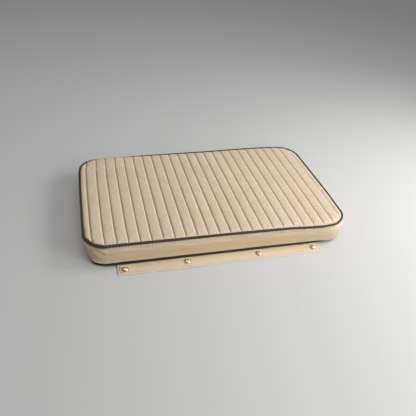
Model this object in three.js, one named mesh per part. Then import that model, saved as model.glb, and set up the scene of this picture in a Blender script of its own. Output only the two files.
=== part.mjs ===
// Cooler seat cushion: foam covered in marine vinyl, its face sewn in channels that run from front to
// back, with a cord of piping round the top and the bottom edge and a flap along the front that carries
// four snap caps. Sizes are in millimetres and +Z is up. The origin is the middle of the flat underside,
// +X runs along the length and the flap lies on the -Y side.
import * as THREE from "three";

// Cushion, measured to the middle of the piping
const HALF_LENGTH = 308.6;
const HALF_DEPTH = 191.6;
const CORNER_RADIUS = 49.3;
const TOP_SEAM = 51.7; // height of the seam between face and band
const BOTTOM_SEAM = 4.8; // height of the seam between band and underside
const BAND_FULLNESS = 3.6; // how far the band swells past its seams

// Face
const CHANNELS = 23;
const PITCH = 25.4; // one channel, from one sewn line to the next
const GROOVE_DEPTH = 2.8; // of a sewn line, below the channels beside it
const CHANNEL_SQUARENESS = 3; // 2 is a round channel, more is a flatter one with steeper sides
const SHOULDER_RISE = 4.4; // from the top seam up to the face
const SHOULDER_WIDTH = 10;
const CROWN = 2; // further rise to the middle of the face
const COLUMN_PLACES = [0, 0.2, 0.5, 0.8]; // columns of points across a channel, as shares of it
const EDGE_COLUMNS = [6, 2.2, 0.6, 0]; // the last columns at each end, by how far in they lie
const EDGE_ROWS = [0, 1.4, 4.4]; // the rows on the shoulder, by how far in they lie
const MIDDLE_ROWS = [-1, -0.75, -0.4, 0, 0.4, 0.75, 1]; // the rows between, as shares of the flat face

// Piping, flap and snaps
const PIPING_RADIUS = 3;
const PIPING_SIDES = 8;
const CORNER_STEPS = 9;
const LONG_SIDE_STEPS = 32;
const SHORT_SIDE_STEPS = 10;
const FLAP_THICKNESS = 1.5;
const FLAP_LEFT = -243;
const FLAP_RIGHT = 233;
const FLAP_STEPS = 28;
const CAP_RADIUS = 7.5;
const CAP_HEIGHT = 3.8;
const CAP_SIDES = 20;
const GAP = 0.3; // between neighbouring pieces
const SEAM_INSET = PIPING_RADIUS + GAP; // from the middle of the piping to the cushion beside it

// The cushion as it has settled. Each row gives, for one place along an edge, how far the top seam
// stands out and up from the even outline, how much higher the face puffs beside it, how far the bottom
// seam stands out, how far that seam is rolled under, and how much fuller the band and its foot are.
const FRONT_EDGE = [
  { at: -309, topOut: 0, topUp: 0, puff: 0, bottomOut: 1, roll: 0, fuller: 0, foot: 0 },
  { at: -285, topOut: -0.3, topUp: 0, puff: 0, bottomOut: 2, roll: 0, fuller: 0, foot: 0 },
  { at: -225, topOut: -1.2, topUp: 0, puff: 0, bottomOut: 3.6, roll: 0, fuller: 0, foot: 0 },
  { at: 0, topOut: -1, topUp: 0, puff: 0, bottomOut: 2.6, roll: 0, fuller: 0, foot: 0 },
  { at: 130, topOut: 0.5, topUp: 0, puff: 0, bottomOut: 1.5, roll: 0, fuller: 0.5, foot: 0 },
  { at: 238, topOut: 3.4, topUp: -2.1, puff: 0.5, bottomOut: 1.3, roll: 1, fuller: 2, foot: 0 },
  { at: 268, topOut: 2.2, topUp: -1, puff: 0.5, bottomOut: 1, roll: 3, fuller: 4, foot: 5 },
  { at: 309, topOut: 0, topUp: 0, puff: 0, bottomOut: 0, roll: 4, fuller: 9, foot: 8 },
];
const BACK_EDGE = [
  { at: -309, topOut: -1.5, topUp: -3, puff: 0, bottomOut: 1 },
  { at: -260, topOut: -2.5, topUp: -2.5, puff: 2.5, bottomOut: 1 },
  { at: -200, topOut: -2.2, topUp: -1.5, puff: 3.5, bottomOut: 1 },
  { at: -120, topOut: -2, topUp: 0, puff: 1, bottomOut: 1 },
  { at: 0, topOut: -0.5, topUp: 0, puff: 0, bottomOut: 1 },
  { at: 200, topOut: 4, topUp: 0, puff: 0, bottomOut: 3 },
  { at: 309, topOut: 0, topUp: 0, puff: 0, bottomOut: 1 },
];
const LEFT_END = [
  { at: -170, topOut: -1.5 },
  { at: -100, topOut: -0.3 },
  { at: 40, topOut: 1.4 },
  { at: 115, topOut: 1 },
  { at: 170, topOut: -2.5 },
];
const RIGHT_END = [
  { at: -150, topOut: -2.3 },
  { at: -50, topOut: 0.5 },
  { at: 118, topOut: 1 },
  { at: 170, topOut: 0 },
];
const PUFF_REACH = 60; // how far in from the edge a puff dies out
const LEFT_TUCK = 10; // how far the foot of the band leans in at the left end
const RIGHT_TUCK = 2;
const TUCK_REACH = 24; // over this much of the length
const ROLL_HEIGHT = 26; // the foot that is rolled under reaches up to here
const SEAM_LEAN = 2.2; // how far the sewn lines lean to the left at the back, where they lean most
const LEAN_CENTRE = 50;
const LEAN_REACH = 130;

// Section of the cushion below the top seam: down the band to the bottom seam, then in under it to
// where the underside lies flat. The columns full and foot are shares of the band's fullness and of
// how far its foot hangs over the bottom piping.
const SECTION = [
  { height: TOP_SEAM - SEAM_INSET, full: 0.08, foot: 0, inward: 0 },
  { height: 43.7, full: 0.6, foot: 0, inward: 0 },
  { height: 34.8, full: 0.94, foot: 0.1, inward: 0 },
  { height: 23.6, full: 1, foot: 0.5, inward: 0 },
  { height: 13.2, full: 0.62, foot: 1, inward: 0 },
  { height: BOTTOM_SEAM + SEAM_INSET, full: 0.16, foot: 0.9, inward: 0 },
  { height: BOTTOM_SEAM + SEAM_INSET, full: 0, foot: 0, inward: 0 },
  { height: BOTTOM_SEAM, full: 0, foot: 0, inward: 0 },
  { height: 1.6, full: 0, foot: 0, inward: 3 },
  { height: 0, full: 0, foot: 0, inward: 9 },
];

// Outer edge of the flap, which wanders a little, and the centres of its snaps
const FLAP_EDGE = [
  { at: -243, y: -227.6 },
  { at: -215, y: -229.2 },
  { at: -130, y: -229.9 },
  { at: 75, y: -227.6 },
  { at: 125, y: -228.6 },
  { at: 233, y: -226.6 },
];
const SNAPS = [
  { x: -226.8, y: -212.3 },
  { x: -89.4, y: -209 },
  { x: 78.2, y: -210.6 },
  { x: 213.9, y: -209.3 },
];

// Half section of a snap cap, from the middle of its base to its top, as shares of its radius and height
const CAP_SECTION = [
  { radius: 0, height: 0 },
  { radius: 0.93, height: 0 },
  { radius: 1, height: 0.15 },
  { radius: 0.97, height: 0.34 },
  { radius: 0.82, height: 0.62 },
  { radius: 0.55, height: 0.87 },
  { radius: 0.26, height: 0.97 },
  { radius: 0, height: 1 },
];

// Colours and finishes
const VINYL = { color: 0xd8c3a4, roughness: 0.55, metalness: 0 };
const PIPING = { color: 0x42302f, roughness: 0.5, metalness: 0 };
const SNAP_METAL = { color: 0xcfc8ba, roughness: 0.3, metalness: 1 };

const LAST_SEAM = (CHANNELS / 2) * PITCH;

// Reads one column of a table of places, easing from each row to the next.
function read(table, column, place) {
  if (place <= table[0].at) return table[0][column];
  const next = table.findIndex((row) => row.at >= place);
  if (next < 0) return table[table.length - 1][column];
  const [from, to] = [table[next - 1], table[next]];
  const eased = THREE.MathUtils.smoothstep(place, from.at, to.at);
  return THREE.MathUtils.lerp(from[column], to[column], eased);
}

// Half the depth of the rounded outline at a distance along it, drawn in by an inset.
function halfDepthAt(x, inset) {
  const radius = CORNER_RADIUS - inset;
  const intoCorner = Math.max(Math.abs(x) - (HALF_LENGTH - CORNER_RADIUS), 0);
  const drop = radius - Math.sqrt(Math.max(radius ** 2 - intoCorner ** 2, 0));
  return HALF_DEPTH - inset - drop;
}

// How far a point lies inside the top seam.
function insideSeam(x, y) {
  const alongX = Math.abs(x) - (HALF_LENGTH - CORNER_RADIUS);
  const alongY = Math.abs(y) - (HALF_DEPTH - CORNER_RADIUS);
  const corner = Math.hypot(Math.max(alongX, 0), Math.max(alongY, 0));
  return CORNER_RADIUS - SEAM_INSET - corner - Math.min(Math.max(alongX, alongY), 0);
}

// The direction straight out of the outline at a point on it.
function outward(x, y) {
  const alongX = Math.max(Math.abs(x) - (HALF_LENGTH - CORNER_RADIUS), 0);
  const alongY = Math.max(Math.abs(y) - (HALF_DEPTH - CORNER_RADIUS), 0);
  return new THREE.Vector2(alongX * Math.sign(x), alongY * Math.sign(y)).normalize();
}

// How strongly a point feels the front edge, from 1 at the edge to 0 from the middle on.
function nearFront(y) {
  return (Math.max(-y, 0) / HALF_DEPTH) ** 4;
}

// How far out the cushion reaches past its seam, for one row of the section at a place round it.
function sectionOut(x, y, { height, full, foot, inward }) {
  const front = nearFront(y);
  const fullness = BAND_FULLNESS + read(FRONT_EDGE, "fuller", x) * front;
  return full * fullness + foot * read(FRONT_EDGE, "foot", x) * front - inward - rolled(x, y, height);
}

// How far a point at the foot of the band is rolled under, straight in.
function rolled(x, y, z) {
  const low = 1 - THREE.MathUtils.smoothstep(z, BOTTOM_SEAM + SEAM_INSET, ROLL_HEIGHT);
  return read(FRONT_EDGE, "roll", x) * nearFront(y) * low;
}

// Moves a point of the even cushion to where it lies on the settled one. The underside stays flat.
function settle(x, y, z) {
  const high = THREE.MathUtils.clamp(z / TOP_SEAM, 0, 1);
  const low = 1 - high;
  const front = nearFront(y);
  const back = nearFront(-y);
  const frontOut = read(FRONT_EDGE, "topOut", x) * high + read(FRONT_EDGE, "bottomOut", x) * low;
  const backOut = read(BACK_EDGE, "topOut", x) * high + read(BACK_EDGE, "bottomOut", x) * low;
  const up = read(FRONT_EDGE, "topUp", x) * front + read(BACK_EDGE, "topUp", x) * back;

  const endOut = read(x < 0 ? LEFT_END : RIGHT_END, "topOut", y) * high * (x / HALF_LENGTH) ** 3;
  const nearEnd = Math.max(Math.abs(x) - HALF_LENGTH + TUCK_REACH, 0) / TUCK_REACH;
  const tuck = (x < 0 ? -LEFT_TUCK : RIGHT_TUCK) * Math.min(nearEnd, 1) ** 2 * low ** 2;
  const lean = SEAM_LEAN * Math.exp(-(((x - LEAN_CENTRE) / LEAN_REACH) ** 2)) * high;
  const leaning = (lean * (1 + y / HALF_DEPTH)) / 2;
  return new THREE.Vector3(
    x + endOut - tuck - leaning,
    y - frontOut * front + backOut * back,
    z + up * high,
  );
}

// The height of the even face: it rises from the seam over a round shoulder to a slight crown, and
// each sewn line draws a groove into it.
function faceHeight(x, y) {
  const inward = Math.min(Math.max(insideSeam(x, y), 0) / SHOULDER_WIDTH, 1);
  const shoulder = Math.sqrt(1 - (1 - inward) ** 2);
  const crown = CROWN * (1 - (x / HALF_LENGTH) ** 2) * (1 - (y / HALF_DEPTH) ** 2);
  const fromEdge = 1 - THREE.MathUtils.smoothstep(HALF_DEPTH - Math.abs(y), 0, PUFF_REACH);
  const puff = read(y < 0 ? FRONT_EDGE : BACK_EDGE, "puff", x) * fromEdge;
  const place = (((x + LAST_SEAM) / PITCH) % 1 + 1) % 1;
  const groove = GROOVE_DEPTH * Math.abs(2 * place - 1) ** CHANNEL_SQUARENESS;
  return TOP_SEAM + shoulder * (SHOULDER_RISE + crown + puff - groove);
}

// The x of each column of points on the face: those in the channels between the plain strip at each end.
function faceColumns() {
  const strip = EDGE_COLUMNS.map((inward) => HALF_LENGTH - SEAM_INSET - inward);
  const columns = strip.map((x) => -x).reverse();
  for (let channel = 0; channel < CHANNELS; channel++) {
    for (const place of COLUMN_PLACES) {
      columns.push((channel + place) * PITCH - LAST_SEAM);
    }
  }
  return [...columns, LAST_SEAM, ...strip];
}

// The y of each row of points in one column: close together on the shoulders, wide apart between.
function faceRows(x) {
  const edge = halfDepthAt(x, SEAM_INSET);
  const flat = edge - SHOULDER_WIDTH;
  const shoulder = EDGE_ROWS.map((inward) => edge - inward);
  const middle = MIDDLE_ROWS.map((part) => part * flat);
  return [...shoulder.map((y) => -y), ...middle, ...shoulder.reverse()];
}

// The cushion is one closed solid: the face as a grid, the band and the edge of the underside as
// rings below the grid's border, and the flat underside as strips across the last ring.
function cushionGeometry() {
  const columns = faceColumns();
  const rowCount = faceRows(0).length;
  const points = [];
  const triangles = [];
  const quad = (a, b, c, d) => triangles.push(a, b, c, a, c, d);

  for (const x of columns) {
    for (const y of faceRows(x)) points.push(settle(x, y, faceHeight(x, y)));
  }
  const at = (column, row) => column * rowCount + row;
  for (let i = 0; i + 1 < columns.length; i++) {
    for (let j = 0; j + 1 < rowCount; j++) {
      quad(at(i, j), at(i + 1, j), at(i + 1, j + 1), at(i, j + 1));
    }
  }

  // The border runs along the front, up the right end, back along the rear and down the left end.
  const lastColumn = columns.length - 1;
  const lastRow = rowCount - 1;
  const border = [];
  for (let i = 0; i < lastColumn; i++) border.push([i, 0]);
  for (let j = 0; j < lastRow; j++) border.push([lastColumn, j]);
  for (let i = lastColumn; i > 0; i--) border.push([i, lastRow]);
  for (let j = lastRow; j > 0; j--) border.push([0, j]);

  let above = border.map(([i, j]) => at(i, j));
  for (const row of SECTION) {
    const ring = border.map(([i, j]) => {
      const x = columns[i];
      const y = faceRows(x)[j];
      const way = outward(x, y).multiplyScalar(sectionOut(x, y, row));
      return points.push(settle(x + way.x, y + way.y, row.height)) - 1;
    });
    ring.forEach((point, k) => {
      const next = (k + 1) % ring.length;
      quad(above[k], point, ring[next], above[next]);
    });
    above = ring;
  }

  // Strips join the front and the rear of the last ring, and a fan closes each end.
  const front = above.slice(0, lastColumn + 1);
  const right = above.slice(lastColumn, lastColumn + lastRow + 1);
  const rear = above.slice(lastColumn + lastRow, 2 * lastColumn + lastRow + 1).reverse();
  const left = [...above.slice(2 * lastColumn + lastRow), above[0]].reverse();
  for (let i = 1; i + 2 < front.length; i++) quad(front[i], rear[i], rear[i + 1], front[i + 1]);
  for (let j = 0; j < lastRow; j++) {
    triangles.push(front[1], left[j], left[j + 1]);
    triangles.push(front[lastColumn - 1], right[j + 1], right[j]);
  }
  triangles.push(front[1], rear[0], rear[1]);
  triangles.push(front[lastColumn - 1], rear[lastColumn - 1], rear[lastColumn]);
  return new THREE.BufferGeometry().setFromPoints(points).setIndex(triangles);
}

// The even centreline of the piping, with the way out at each point.
function pipingLine() {
  const straightX = HALF_LENGTH - CORNER_RADIUS;
  const straightY = HALF_DEPTH - CORNER_RADIUS;
  const sideSteps = [LONG_SIDE_STEPS, SHORT_SIDE_STEPS];
  const corners = [
    [straightX, -straightY],
    [straightX, straightY],
    [-straightX, straightY],
    [-straightX, -straightY],
  ];
  const line = [];
  corners.forEach(([x, y], side) => {
    for (let step = 0; step <= CORNER_STEPS; step++) {
      const turn = (side - 1 + step / CORNER_STEPS) * (Math.PI / 2);
      const way = new THREE.Vector2(Math.cos(turn), Math.sin(turn));
      line.push({ x: x + CORNER_RADIUS * way.x, y: y + CORNER_RADIUS * way.y, way });
    }
    const [nextX, nextY] = corners[(side + 1) % corners.length];
    const { x: startX, y: startY, way } = line[line.length - 1];
    const steps = sideSteps[(side + 1) % sideSteps.length];
    for (let step = 1; step < steps; step++) {
      const part = step / steps;
      line.push({ x: startX + (nextX - x) * part, y: startY + (nextY - y) * part, way });
    }
  });
  return line;
}

// A closed cord round the cushion at one height, settled with it.
function pipingGeometry(height) {
  const line = pipingLine();
  const points = [];
  const triangles = [];
  for (const { x, y, way } of line) {
    for (let side = 0; side < PIPING_SIDES; side++) {
      const turn = ((side + 0.5) / PIPING_SIDES) * 2 * Math.PI;
      const out = PIPING_RADIUS * Math.cos(turn) - rolled(x, y, height);
      points.push(settle(x + way.x * out, y + way.y * out, height + PIPING_RADIUS * Math.sin(turn)));
    }
  }
  line.forEach((_, i) => {
    const next = (i + 1) % line.length;
    for (let side = 0; side < PIPING_SIDES; side++) {
      const beside = (side + 1) % PIPING_SIDES;
      const [a, b] = [i * PIPING_SIDES + side, next * PIPING_SIDES + side];
      const [c, d] = [next * PIPING_SIDES + beside, i * PIPING_SIDES + beside];
      triangles.push(a, b, c, a, c, d);
    }
  });
  return new THREE.BufferGeometry().setFromPoints(points).setIndex(triangles);
}

// The flap is a flat strip of cloth from the bottom seam, under the piping, to its own uneven edge.
function flapGeometry() {
  const length = FLAP_RIGHT - FLAP_LEFT;
  const geometry = new THREE.BoxGeometry(1, 1, 1, FLAP_STEPS, 2, 1);
  const position = geometry.getAttribute("position");
  for (let i = 0; i < position.count; i++) {
    const x = FLAP_LEFT + (position.getX(i) + 0.5) * length;
    const seam = settle(x, SEAM_INSET - HALF_DEPTH, BOTTOM_SEAM).y - GAP;
    const edge = read(FLAP_EDGE, "y", x);
    const y = THREE.MathUtils.lerp(edge, seam, position.getY(i) + 0.5);
    position.setXYZ(i, x, y, (position.getZ(i) + 0.5) * FLAP_THICKNESS);
  }
  return geometry;
}

// A snap cap is a low dome with a rolled rim, turned from its half section.
function capGeometry() {
  const profile = CAP_SECTION.map(
    ({ radius, height }) => new THREE.Vector2(radius * CAP_RADIUS, height * CAP_HEIGHT),
  );
  return new THREE.LatheGeometry(profile, CAP_SIDES).rotateX(Math.PI / 2);
}

function piece(name, geometry, finish) {
  const mesh = new THREE.Mesh(geometry, new THREE.MeshStandardMaterial(finish));
  mesh.name = name;
  return mesh;
}

const cushion = new THREE.Group();
cushion.add(
  piece("cushion_pad", cushionGeometry(), VINYL),
  piece("top_piping", pipingGeometry(TOP_SEAM), PIPING),
  piece("bottom_piping", pipingGeometry(BOTTOM_SEAM), PIPING),
  piece("snap_flap", flapGeometry(), VINYL),
);
SNAPS.forEach(({ x, y }, i) => {
  const cap = piece(`snap_cap_${i + 1}`, capGeometry(), SNAP_METAL);
  cap.position.set(x, y, FLAP_THICKNESS + GAP);
  cushion.add(cap);
});

export default cushion;
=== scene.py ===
# %% [markdown]
# # A channelled seat cushion for a cooler
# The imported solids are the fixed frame: they say where each piece is and how large it is. This lesson
# puts the looks round them. The cushion is sewn and blown up as cloth, the piping is swept along its
# seam, and the stitches are set out by Geometry Nodes.

# %% Load the frame
import math

import bmesh
import bpy
import numpy as np
from mathutils import Matrix, Vector


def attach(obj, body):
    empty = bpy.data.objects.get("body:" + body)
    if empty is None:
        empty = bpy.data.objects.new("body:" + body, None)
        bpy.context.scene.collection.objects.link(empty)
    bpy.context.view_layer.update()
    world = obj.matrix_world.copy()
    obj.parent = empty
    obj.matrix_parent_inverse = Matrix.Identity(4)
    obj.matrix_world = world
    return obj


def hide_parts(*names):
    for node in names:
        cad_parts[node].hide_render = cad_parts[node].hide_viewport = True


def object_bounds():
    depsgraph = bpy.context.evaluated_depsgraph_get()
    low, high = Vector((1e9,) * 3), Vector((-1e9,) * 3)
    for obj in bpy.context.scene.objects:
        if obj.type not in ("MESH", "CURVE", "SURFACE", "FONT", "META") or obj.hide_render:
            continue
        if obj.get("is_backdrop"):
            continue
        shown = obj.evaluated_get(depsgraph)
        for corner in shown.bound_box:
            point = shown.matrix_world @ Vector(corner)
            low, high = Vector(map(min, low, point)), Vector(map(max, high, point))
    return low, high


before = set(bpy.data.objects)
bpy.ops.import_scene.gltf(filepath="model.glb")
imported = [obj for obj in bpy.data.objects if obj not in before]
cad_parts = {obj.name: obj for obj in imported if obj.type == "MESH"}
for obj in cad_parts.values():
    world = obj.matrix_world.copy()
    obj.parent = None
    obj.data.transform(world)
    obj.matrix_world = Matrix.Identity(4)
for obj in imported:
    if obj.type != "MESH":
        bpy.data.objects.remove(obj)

packed_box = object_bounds()
print("box of the packed solids:", [[round(value, 4) for value in corner] for corner in packed_box])

# %% [markdown]
# Two small helpers serve the whole lesson. Screen colours are written as sRGB hex, but Blender's shaders
# add light, so they need linear values. And every node, in a material or in Geometry Nodes, is added
# the same way: a kind, its settings, and what goes into its inputs. That is a value, the output of
# another node, or the other node itself, which then stands for its first output.

# %% Helpers for colours and nodes
MM = 0.001  # the cushion is described in millimetres, and Blender's scene is in metres


def linear(code):
    """The linear colour, with alpha, of an sRGB hex code such as d8c3a4."""
    parts = [int(code[i : i + 2], 16) / 255 for i in (0, 2, 4)]
    return [part / 12.92 if part <= 0.04045 else ((part + 0.055) / 1.055) ** 2.4 for part in parts] + [1]


def add(tree, kind, settings=None, inputs=None):
    """Adds a node with its settings, and links or sets its inputs, given by name or place."""
    node = tree.nodes.new(kind)
    for name, value in (settings or {}).items():
        setattr(node, name, value)
    for name, value in (inputs or {}).items():
        if isinstance(value, bpy.types.Node):
            value = value.outputs[0]
        if isinstance(value, bpy.types.NodeSocket):
            tree.links.new(value, node.inputs[name])
        else:
            node.inputs[name].default_value = value
    return node


print("half grey, 808080, in linear light:", round(linear("808080")[0], 3))

# %% [markdown]
# The camera comes first, because it decides how fine everything has to be. It looks down on the cushion
# from the front left, a little tilted. Angles are easier to read than a matrix, so the direction is
# built from azimuth and elevation and then rolled about the line of sight.

# %% Camera
CAMERA_PLACE = Vector((-0.2795, -0.9889, 0.7053))
CAMERA_AZIMUTH = math.radians(-16.31)
CAMERA_ELEVATION = math.radians(34.72)
CAMERA_ROLL = math.radians(4.41)
CAMERA_LENS = 41.29  # mm
CAMERA_SENSOR = 36  # mm wide

camera_data = bpy.data.cameras.new("camera")
camera_data.lens = CAMERA_LENS
camera_data.sensor_width = CAMERA_SENSOR
camera = bpy.data.objects.new("camera", camera_data)
bpy.context.scene.collection.objects.link(camera)
backwards = Vector(
    (
        math.sin(CAMERA_AZIMUTH) * math.cos(CAMERA_ELEVATION),
        -math.cos(CAMERA_AZIMUTH) * math.cos(CAMERA_ELEVATION),
        math.sin(CAMERA_ELEVATION),
    )
)
level = (-backwards).to_track_quat("-Z", "Y").to_matrix()
tilted = level @ Matrix.Rotation(CAMERA_ROLL, 3, "Z")
camera.matrix_world = Matrix.Translation(CAMERA_PLACE) @ tilted.to_4x4()
bpy.context.scene.camera = camera
print("camera to the middle of the cushion:", round(CAMERA_PLACE.length, 3), "m")

# %% [markdown]
# These are the cushion's own sizes in millimetres, the same as in the solids: a rounded slab, 23 channels
# one inch wide, and a seam with piping round the top and another round the bottom. They describe the
# even cushion, as a maker would draw it before it is sewn.

# %% Sizes of the even cushion
HALF_LENGTH = 308.6  # to the middle of the piping
HALF_DEPTH = 191.6
CORNER_RADIUS = 49.3
TOP_SEAM = 51.7  # the height of the middle of the upper piping
BOTTOM_SEAM = 4.8
PIPING_RADIUS = 3
SEAM_INSET = 2.6  # from the middle of the piping to the cloth, which tucks in under its side
CHANNELS = 23
PITCH = 25.4
LAST_SEAM = CHANNELS / 2 * PITCH  # from the middle to the sewn line at either end
GROOVE_DEPTH = 2.7
SHOULDER_RISE = 4.4  # from the seam up to the face
SHOULDER_WIDTH = 10
CROWN = 2
over_piping = [2 * (half + PIPING_RADIUS) for half in (HALF_LENGTH, HALF_DEPTH)]
print("cushion over its piping:", over_piping, "mm")

# %% [markdown]
# A sewn cushion settles: no edge stays quite straight, which is what makes it look sewn and not
# machined. Each table follows one edge, and a row says what has happened there, in millimetres. The
# seams at the top and the bottom have moved out, or in where the number is negative. The upper one has
# moved up or down, the face puffs beside it, the band is fuller, and the foot of the band is rolled in,
# or spreads and drops over the lower piping.

# %% How the edges have settled
FRONT_EDGE = [
    {"at": -309, "top_out": 0, "top_up": 0, "puff": 0, "bottom_out": 1, "roll": 0, "fuller": 0},
    {"at": -285, "top_out": -0.3, "top_up": 0, "puff": 0, "bottom_out": 2, "roll": 0, "fuller": 0},
    {"at": -225, "top_out": -1.2, "top_up": 0, "puff": 0, "bottom_out": 3.6, "roll": 0, "fuller": 0},
    {"at": 0, "top_out": -1, "top_up": 0, "puff": 0, "bottom_out": 2.6, "roll": 0, "fuller": 0},
    {"at": 130, "top_out": 0.5, "top_up": 0, "puff": 0, "bottom_out": 1.5, "roll": 0, "fuller": 0.5},
    {"at": 238, "top_out": 3.4, "top_up": -2.1, "puff": 0.5, "bottom_out": 1.3, "roll": 1, "fuller": 2},
    {"at": 268, "top_out": 2.2, "top_up": -1, "puff": 0.5, "bottom_out": 1, "roll": 4, "fuller": 5},
    {"at": 309, "top_out": 0, "top_up": 0, "puff": 0, "bottom_out": 0, "roll": 16, "fuller": 10},
]
FRONT_FOOT = [
    {"at": -309, "spread": 2.5, "drop": 1.5},
    {"at": -285, "spread": 0.4, "drop": 0.3},
    {"at": -250, "spread": -0.8, "drop": -0.3},
    {"at": -225, "spread": -2, "drop": -0.8},
    {"at": -160, "spread": -1.5, "drop": -0.5},
    {"at": 60, "spread": -1.4, "drop": -0.5},
    {"at": 130, "spread": -0.9, "drop": -0.4},
    {"at": 225, "spread": -0.2, "drop": -0.5},
    {"at": 268, "spread": 4, "drop": 1.4},
    {"at": 309, "spread": 3.4, "drop": 3},
]
BACK_EDGE = [
    {"at": -309, "top_out": -1.5, "top_up": -3, "puff": 0, "bottom_out": 1},
    {"at": -260, "top_out": -2.5, "top_up": -3.3, "puff": 3.5, "bottom_out": 1},
    {"at": -200, "top_out": -2.2, "top_up": -2.2, "puff": 4, "bottom_out": 1},
    {"at": -120, "top_out": -2, "top_up": 0, "puff": 1, "bottom_out": 1},
    {"at": 0, "top_out": -0.5, "top_up": 0, "puff": 0, "bottom_out": 1},
    {"at": 200, "top_out": 4, "top_up": 0, "puff": 0, "bottom_out": 3},
    {"at": 309, "top_out": 0, "top_up": 0, "puff": 0, "bottom_out": 1},
]
LEFT_END = [
    {"at": -178, "top_out": -3.4},
    {"at": -150, "top_out": -0.8},
    {"at": -90, "top_out": 0.6},
    {"at": 40, "top_out": 1.4},
    {"at": 115, "top_out": 1},
    {"at": 170, "top_out": -2.5},
]
RIGHT_END = [
    {"at": -150, "top_out": -2.3},
    {"at": -50, "top_out": 0.5},
    {"at": 118, "top_out": 1},
    {"at": 170, "top_out": 0},
]
PUFF_REACH = 60  # from an edge to where the face no longer puffs
LEFT_TUCK = 12  # how far the foot of the left end leans in
RIGHT_TUCK = 0.4
TUCK_REACH = 24  # how far in from an end its foot leans with it
ROLL_HEIGHT = 46  # up to where the band follows a foot that is rolled in
SEAM_LEAN = 2.2  # how far to the left the sewn lines near LEAN_CENTRE have gone at the back
LEAN_CENTRE = 50
LEAN_REACH = 130
print("the top seam has sunk by up to", -min(row["top_up"] for row in BACK_EDGE), "mm at the back")

# %% [markdown]
# One function carries any point of the even, drawing-board cushion to where it lies on the settled one.
# Every piece goes through it, so the cloth, the piping and the stitches stay together. It works on whole
# arrays of points at once, which keeps the script fast.

# %% From the even cushion to the settled one


def smooth_step(value, low, high):
    """Rises smoothly from 0 at low to 1 at high."""
    share = np.clip((value - low) / (high - low), 0, 1)
    return share * share * (3 - 2 * share)


def read(table, column, place):
    """Reads one column of a table at each place, easing from each row to the next."""
    at = np.array([row["at"] for row in table], float)
    value = np.array([row[column] for row in table], float)
    place = np.clip(place, at[0], at[-1])
    after = np.clip(np.searchsorted(at, place), 1, len(at) - 1)
    eased = smooth_step(place, at[after - 1], at[after])
    return value[after - 1] + (value[after] - value[after - 1]) * eased


def near_front(y):
    """How strongly a point feels the front edge, from 1 at the edge to 0 from the middle on."""
    return (np.maximum(-y, 0) / HALF_DEPTH) ** 4


def rolled(x, y, z):
    """How far a point at the foot of the band is rolled under, straight in."""
    low = 1 - smooth_step(z, BOTTOM_SEAM + PIPING_RADIUS, ROLL_HEIGHT)
    return read(FRONT_EDGE, "roll", x) * near_front(y) * low


def settle(x, y, z):
    """Where points of the even cushion lie on the settled one, as rows of x, y, z."""
    high = np.clip(z / TOP_SEAM, 0, 1)
    low = 1 - high
    front = near_front(y)
    back = near_front(-y)
    front_out = read(FRONT_EDGE, "top_out", x) * high + read(FRONT_EDGE, "bottom_out", x) * low
    back_out = read(BACK_EDGE, "top_out", x) * high + read(BACK_EDGE, "bottom_out", x) * low
    up = read(FRONT_EDGE, "top_up", x) * front + read(BACK_EDGE, "top_up", x) * back
    end = np.where(x < 0, read(LEFT_END, "top_out", y), read(RIGHT_END, "top_out", y))
    near_end = np.clip((np.abs(x) - HALF_LENGTH + TUCK_REACH) / TUCK_REACH, 0, 1)
    tuck = np.where(x < 0, -LEFT_TUCK, RIGHT_TUCK) * near_end**2 * low**2
    lean = SEAM_LEAN * np.exp(-(((x - LEAN_CENTRE) / LEAN_REACH) ** 2)) * high * (1 + y / HALF_DEPTH) / 2
    return np.stack(
        [
            x + end * high * (x / HALF_LENGTH) ** 3 - tuck - lean,
            y - front_out * front + back_out * back,
            z + up * high,
        ],
        axis=-1,
    )


corner = np.array([[HALF_LENGTH - CORNER_RADIUS], [-HALF_DEPTH], [TOP_SEAM]])
print("the top seam before the front right corner:", corner.ravel(), "settles at", settle(*corner).round(1))

# %% [markdown]
# Every mesh of this lesson is made from arrays of points and faces in millimetres. The object stays at
# the origin and its place is in its points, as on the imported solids.

# %% Making a mesh


def mesh_piece(name, points, faces, material=None):
    """An object at the origin, from points in millimetres and faces that index them."""
    mesh = bpy.data.meshes.new(name)
    mesh.from_pydata((np.asarray(points, float) * MM).tolist(), [], [list(face) for face in faces])
    mesh.validate()
    mesh.shade_smooth()
    if material:
        mesh.materials.append(material)
    piece = bpy.data.objects.new(name, mesh)
    bpy.context.scene.collection.objects.link(piece)
    return piece


def points_of(piece):
    """The points of a mesh piece in millimetres, one row each."""
    flat = np.empty(len(piece.data.vertices) * 3)
    piece.data.vertices.foreach_get("co", flat)
    return flat.reshape(-1, 3) / MM


def set_points(piece, points):
    """Puts points in millimetres back into a mesh piece."""
    piece.data.vertices.foreach_set("co", (np.asarray(points) * MM).ravel())
    piece.data.update()


def keep_result(piece):
    """Turns what a piece's modifiers make into its own plain mesh and removes them."""
    evaluated = piece.evaluated_get(bpy.context.evaluated_depsgraph_get())
    made = bpy.data.meshes.new_from_object(evaluated)
    piece.modifiers.clear()
    piece.data = made

# %% [markdown]
# ## The cover
# A seat cushion like this is a foam slab in a sewn box cover: a face, a band round the sides and an
# underside. The face could be one flat grid with a bump picture, but then the channels would vanish
# seen from the side. Here the cover is one closed mesh whose columns of points follow the sewn lines,
# so each line can be pulled down and held, exactly as its thread does.

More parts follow.
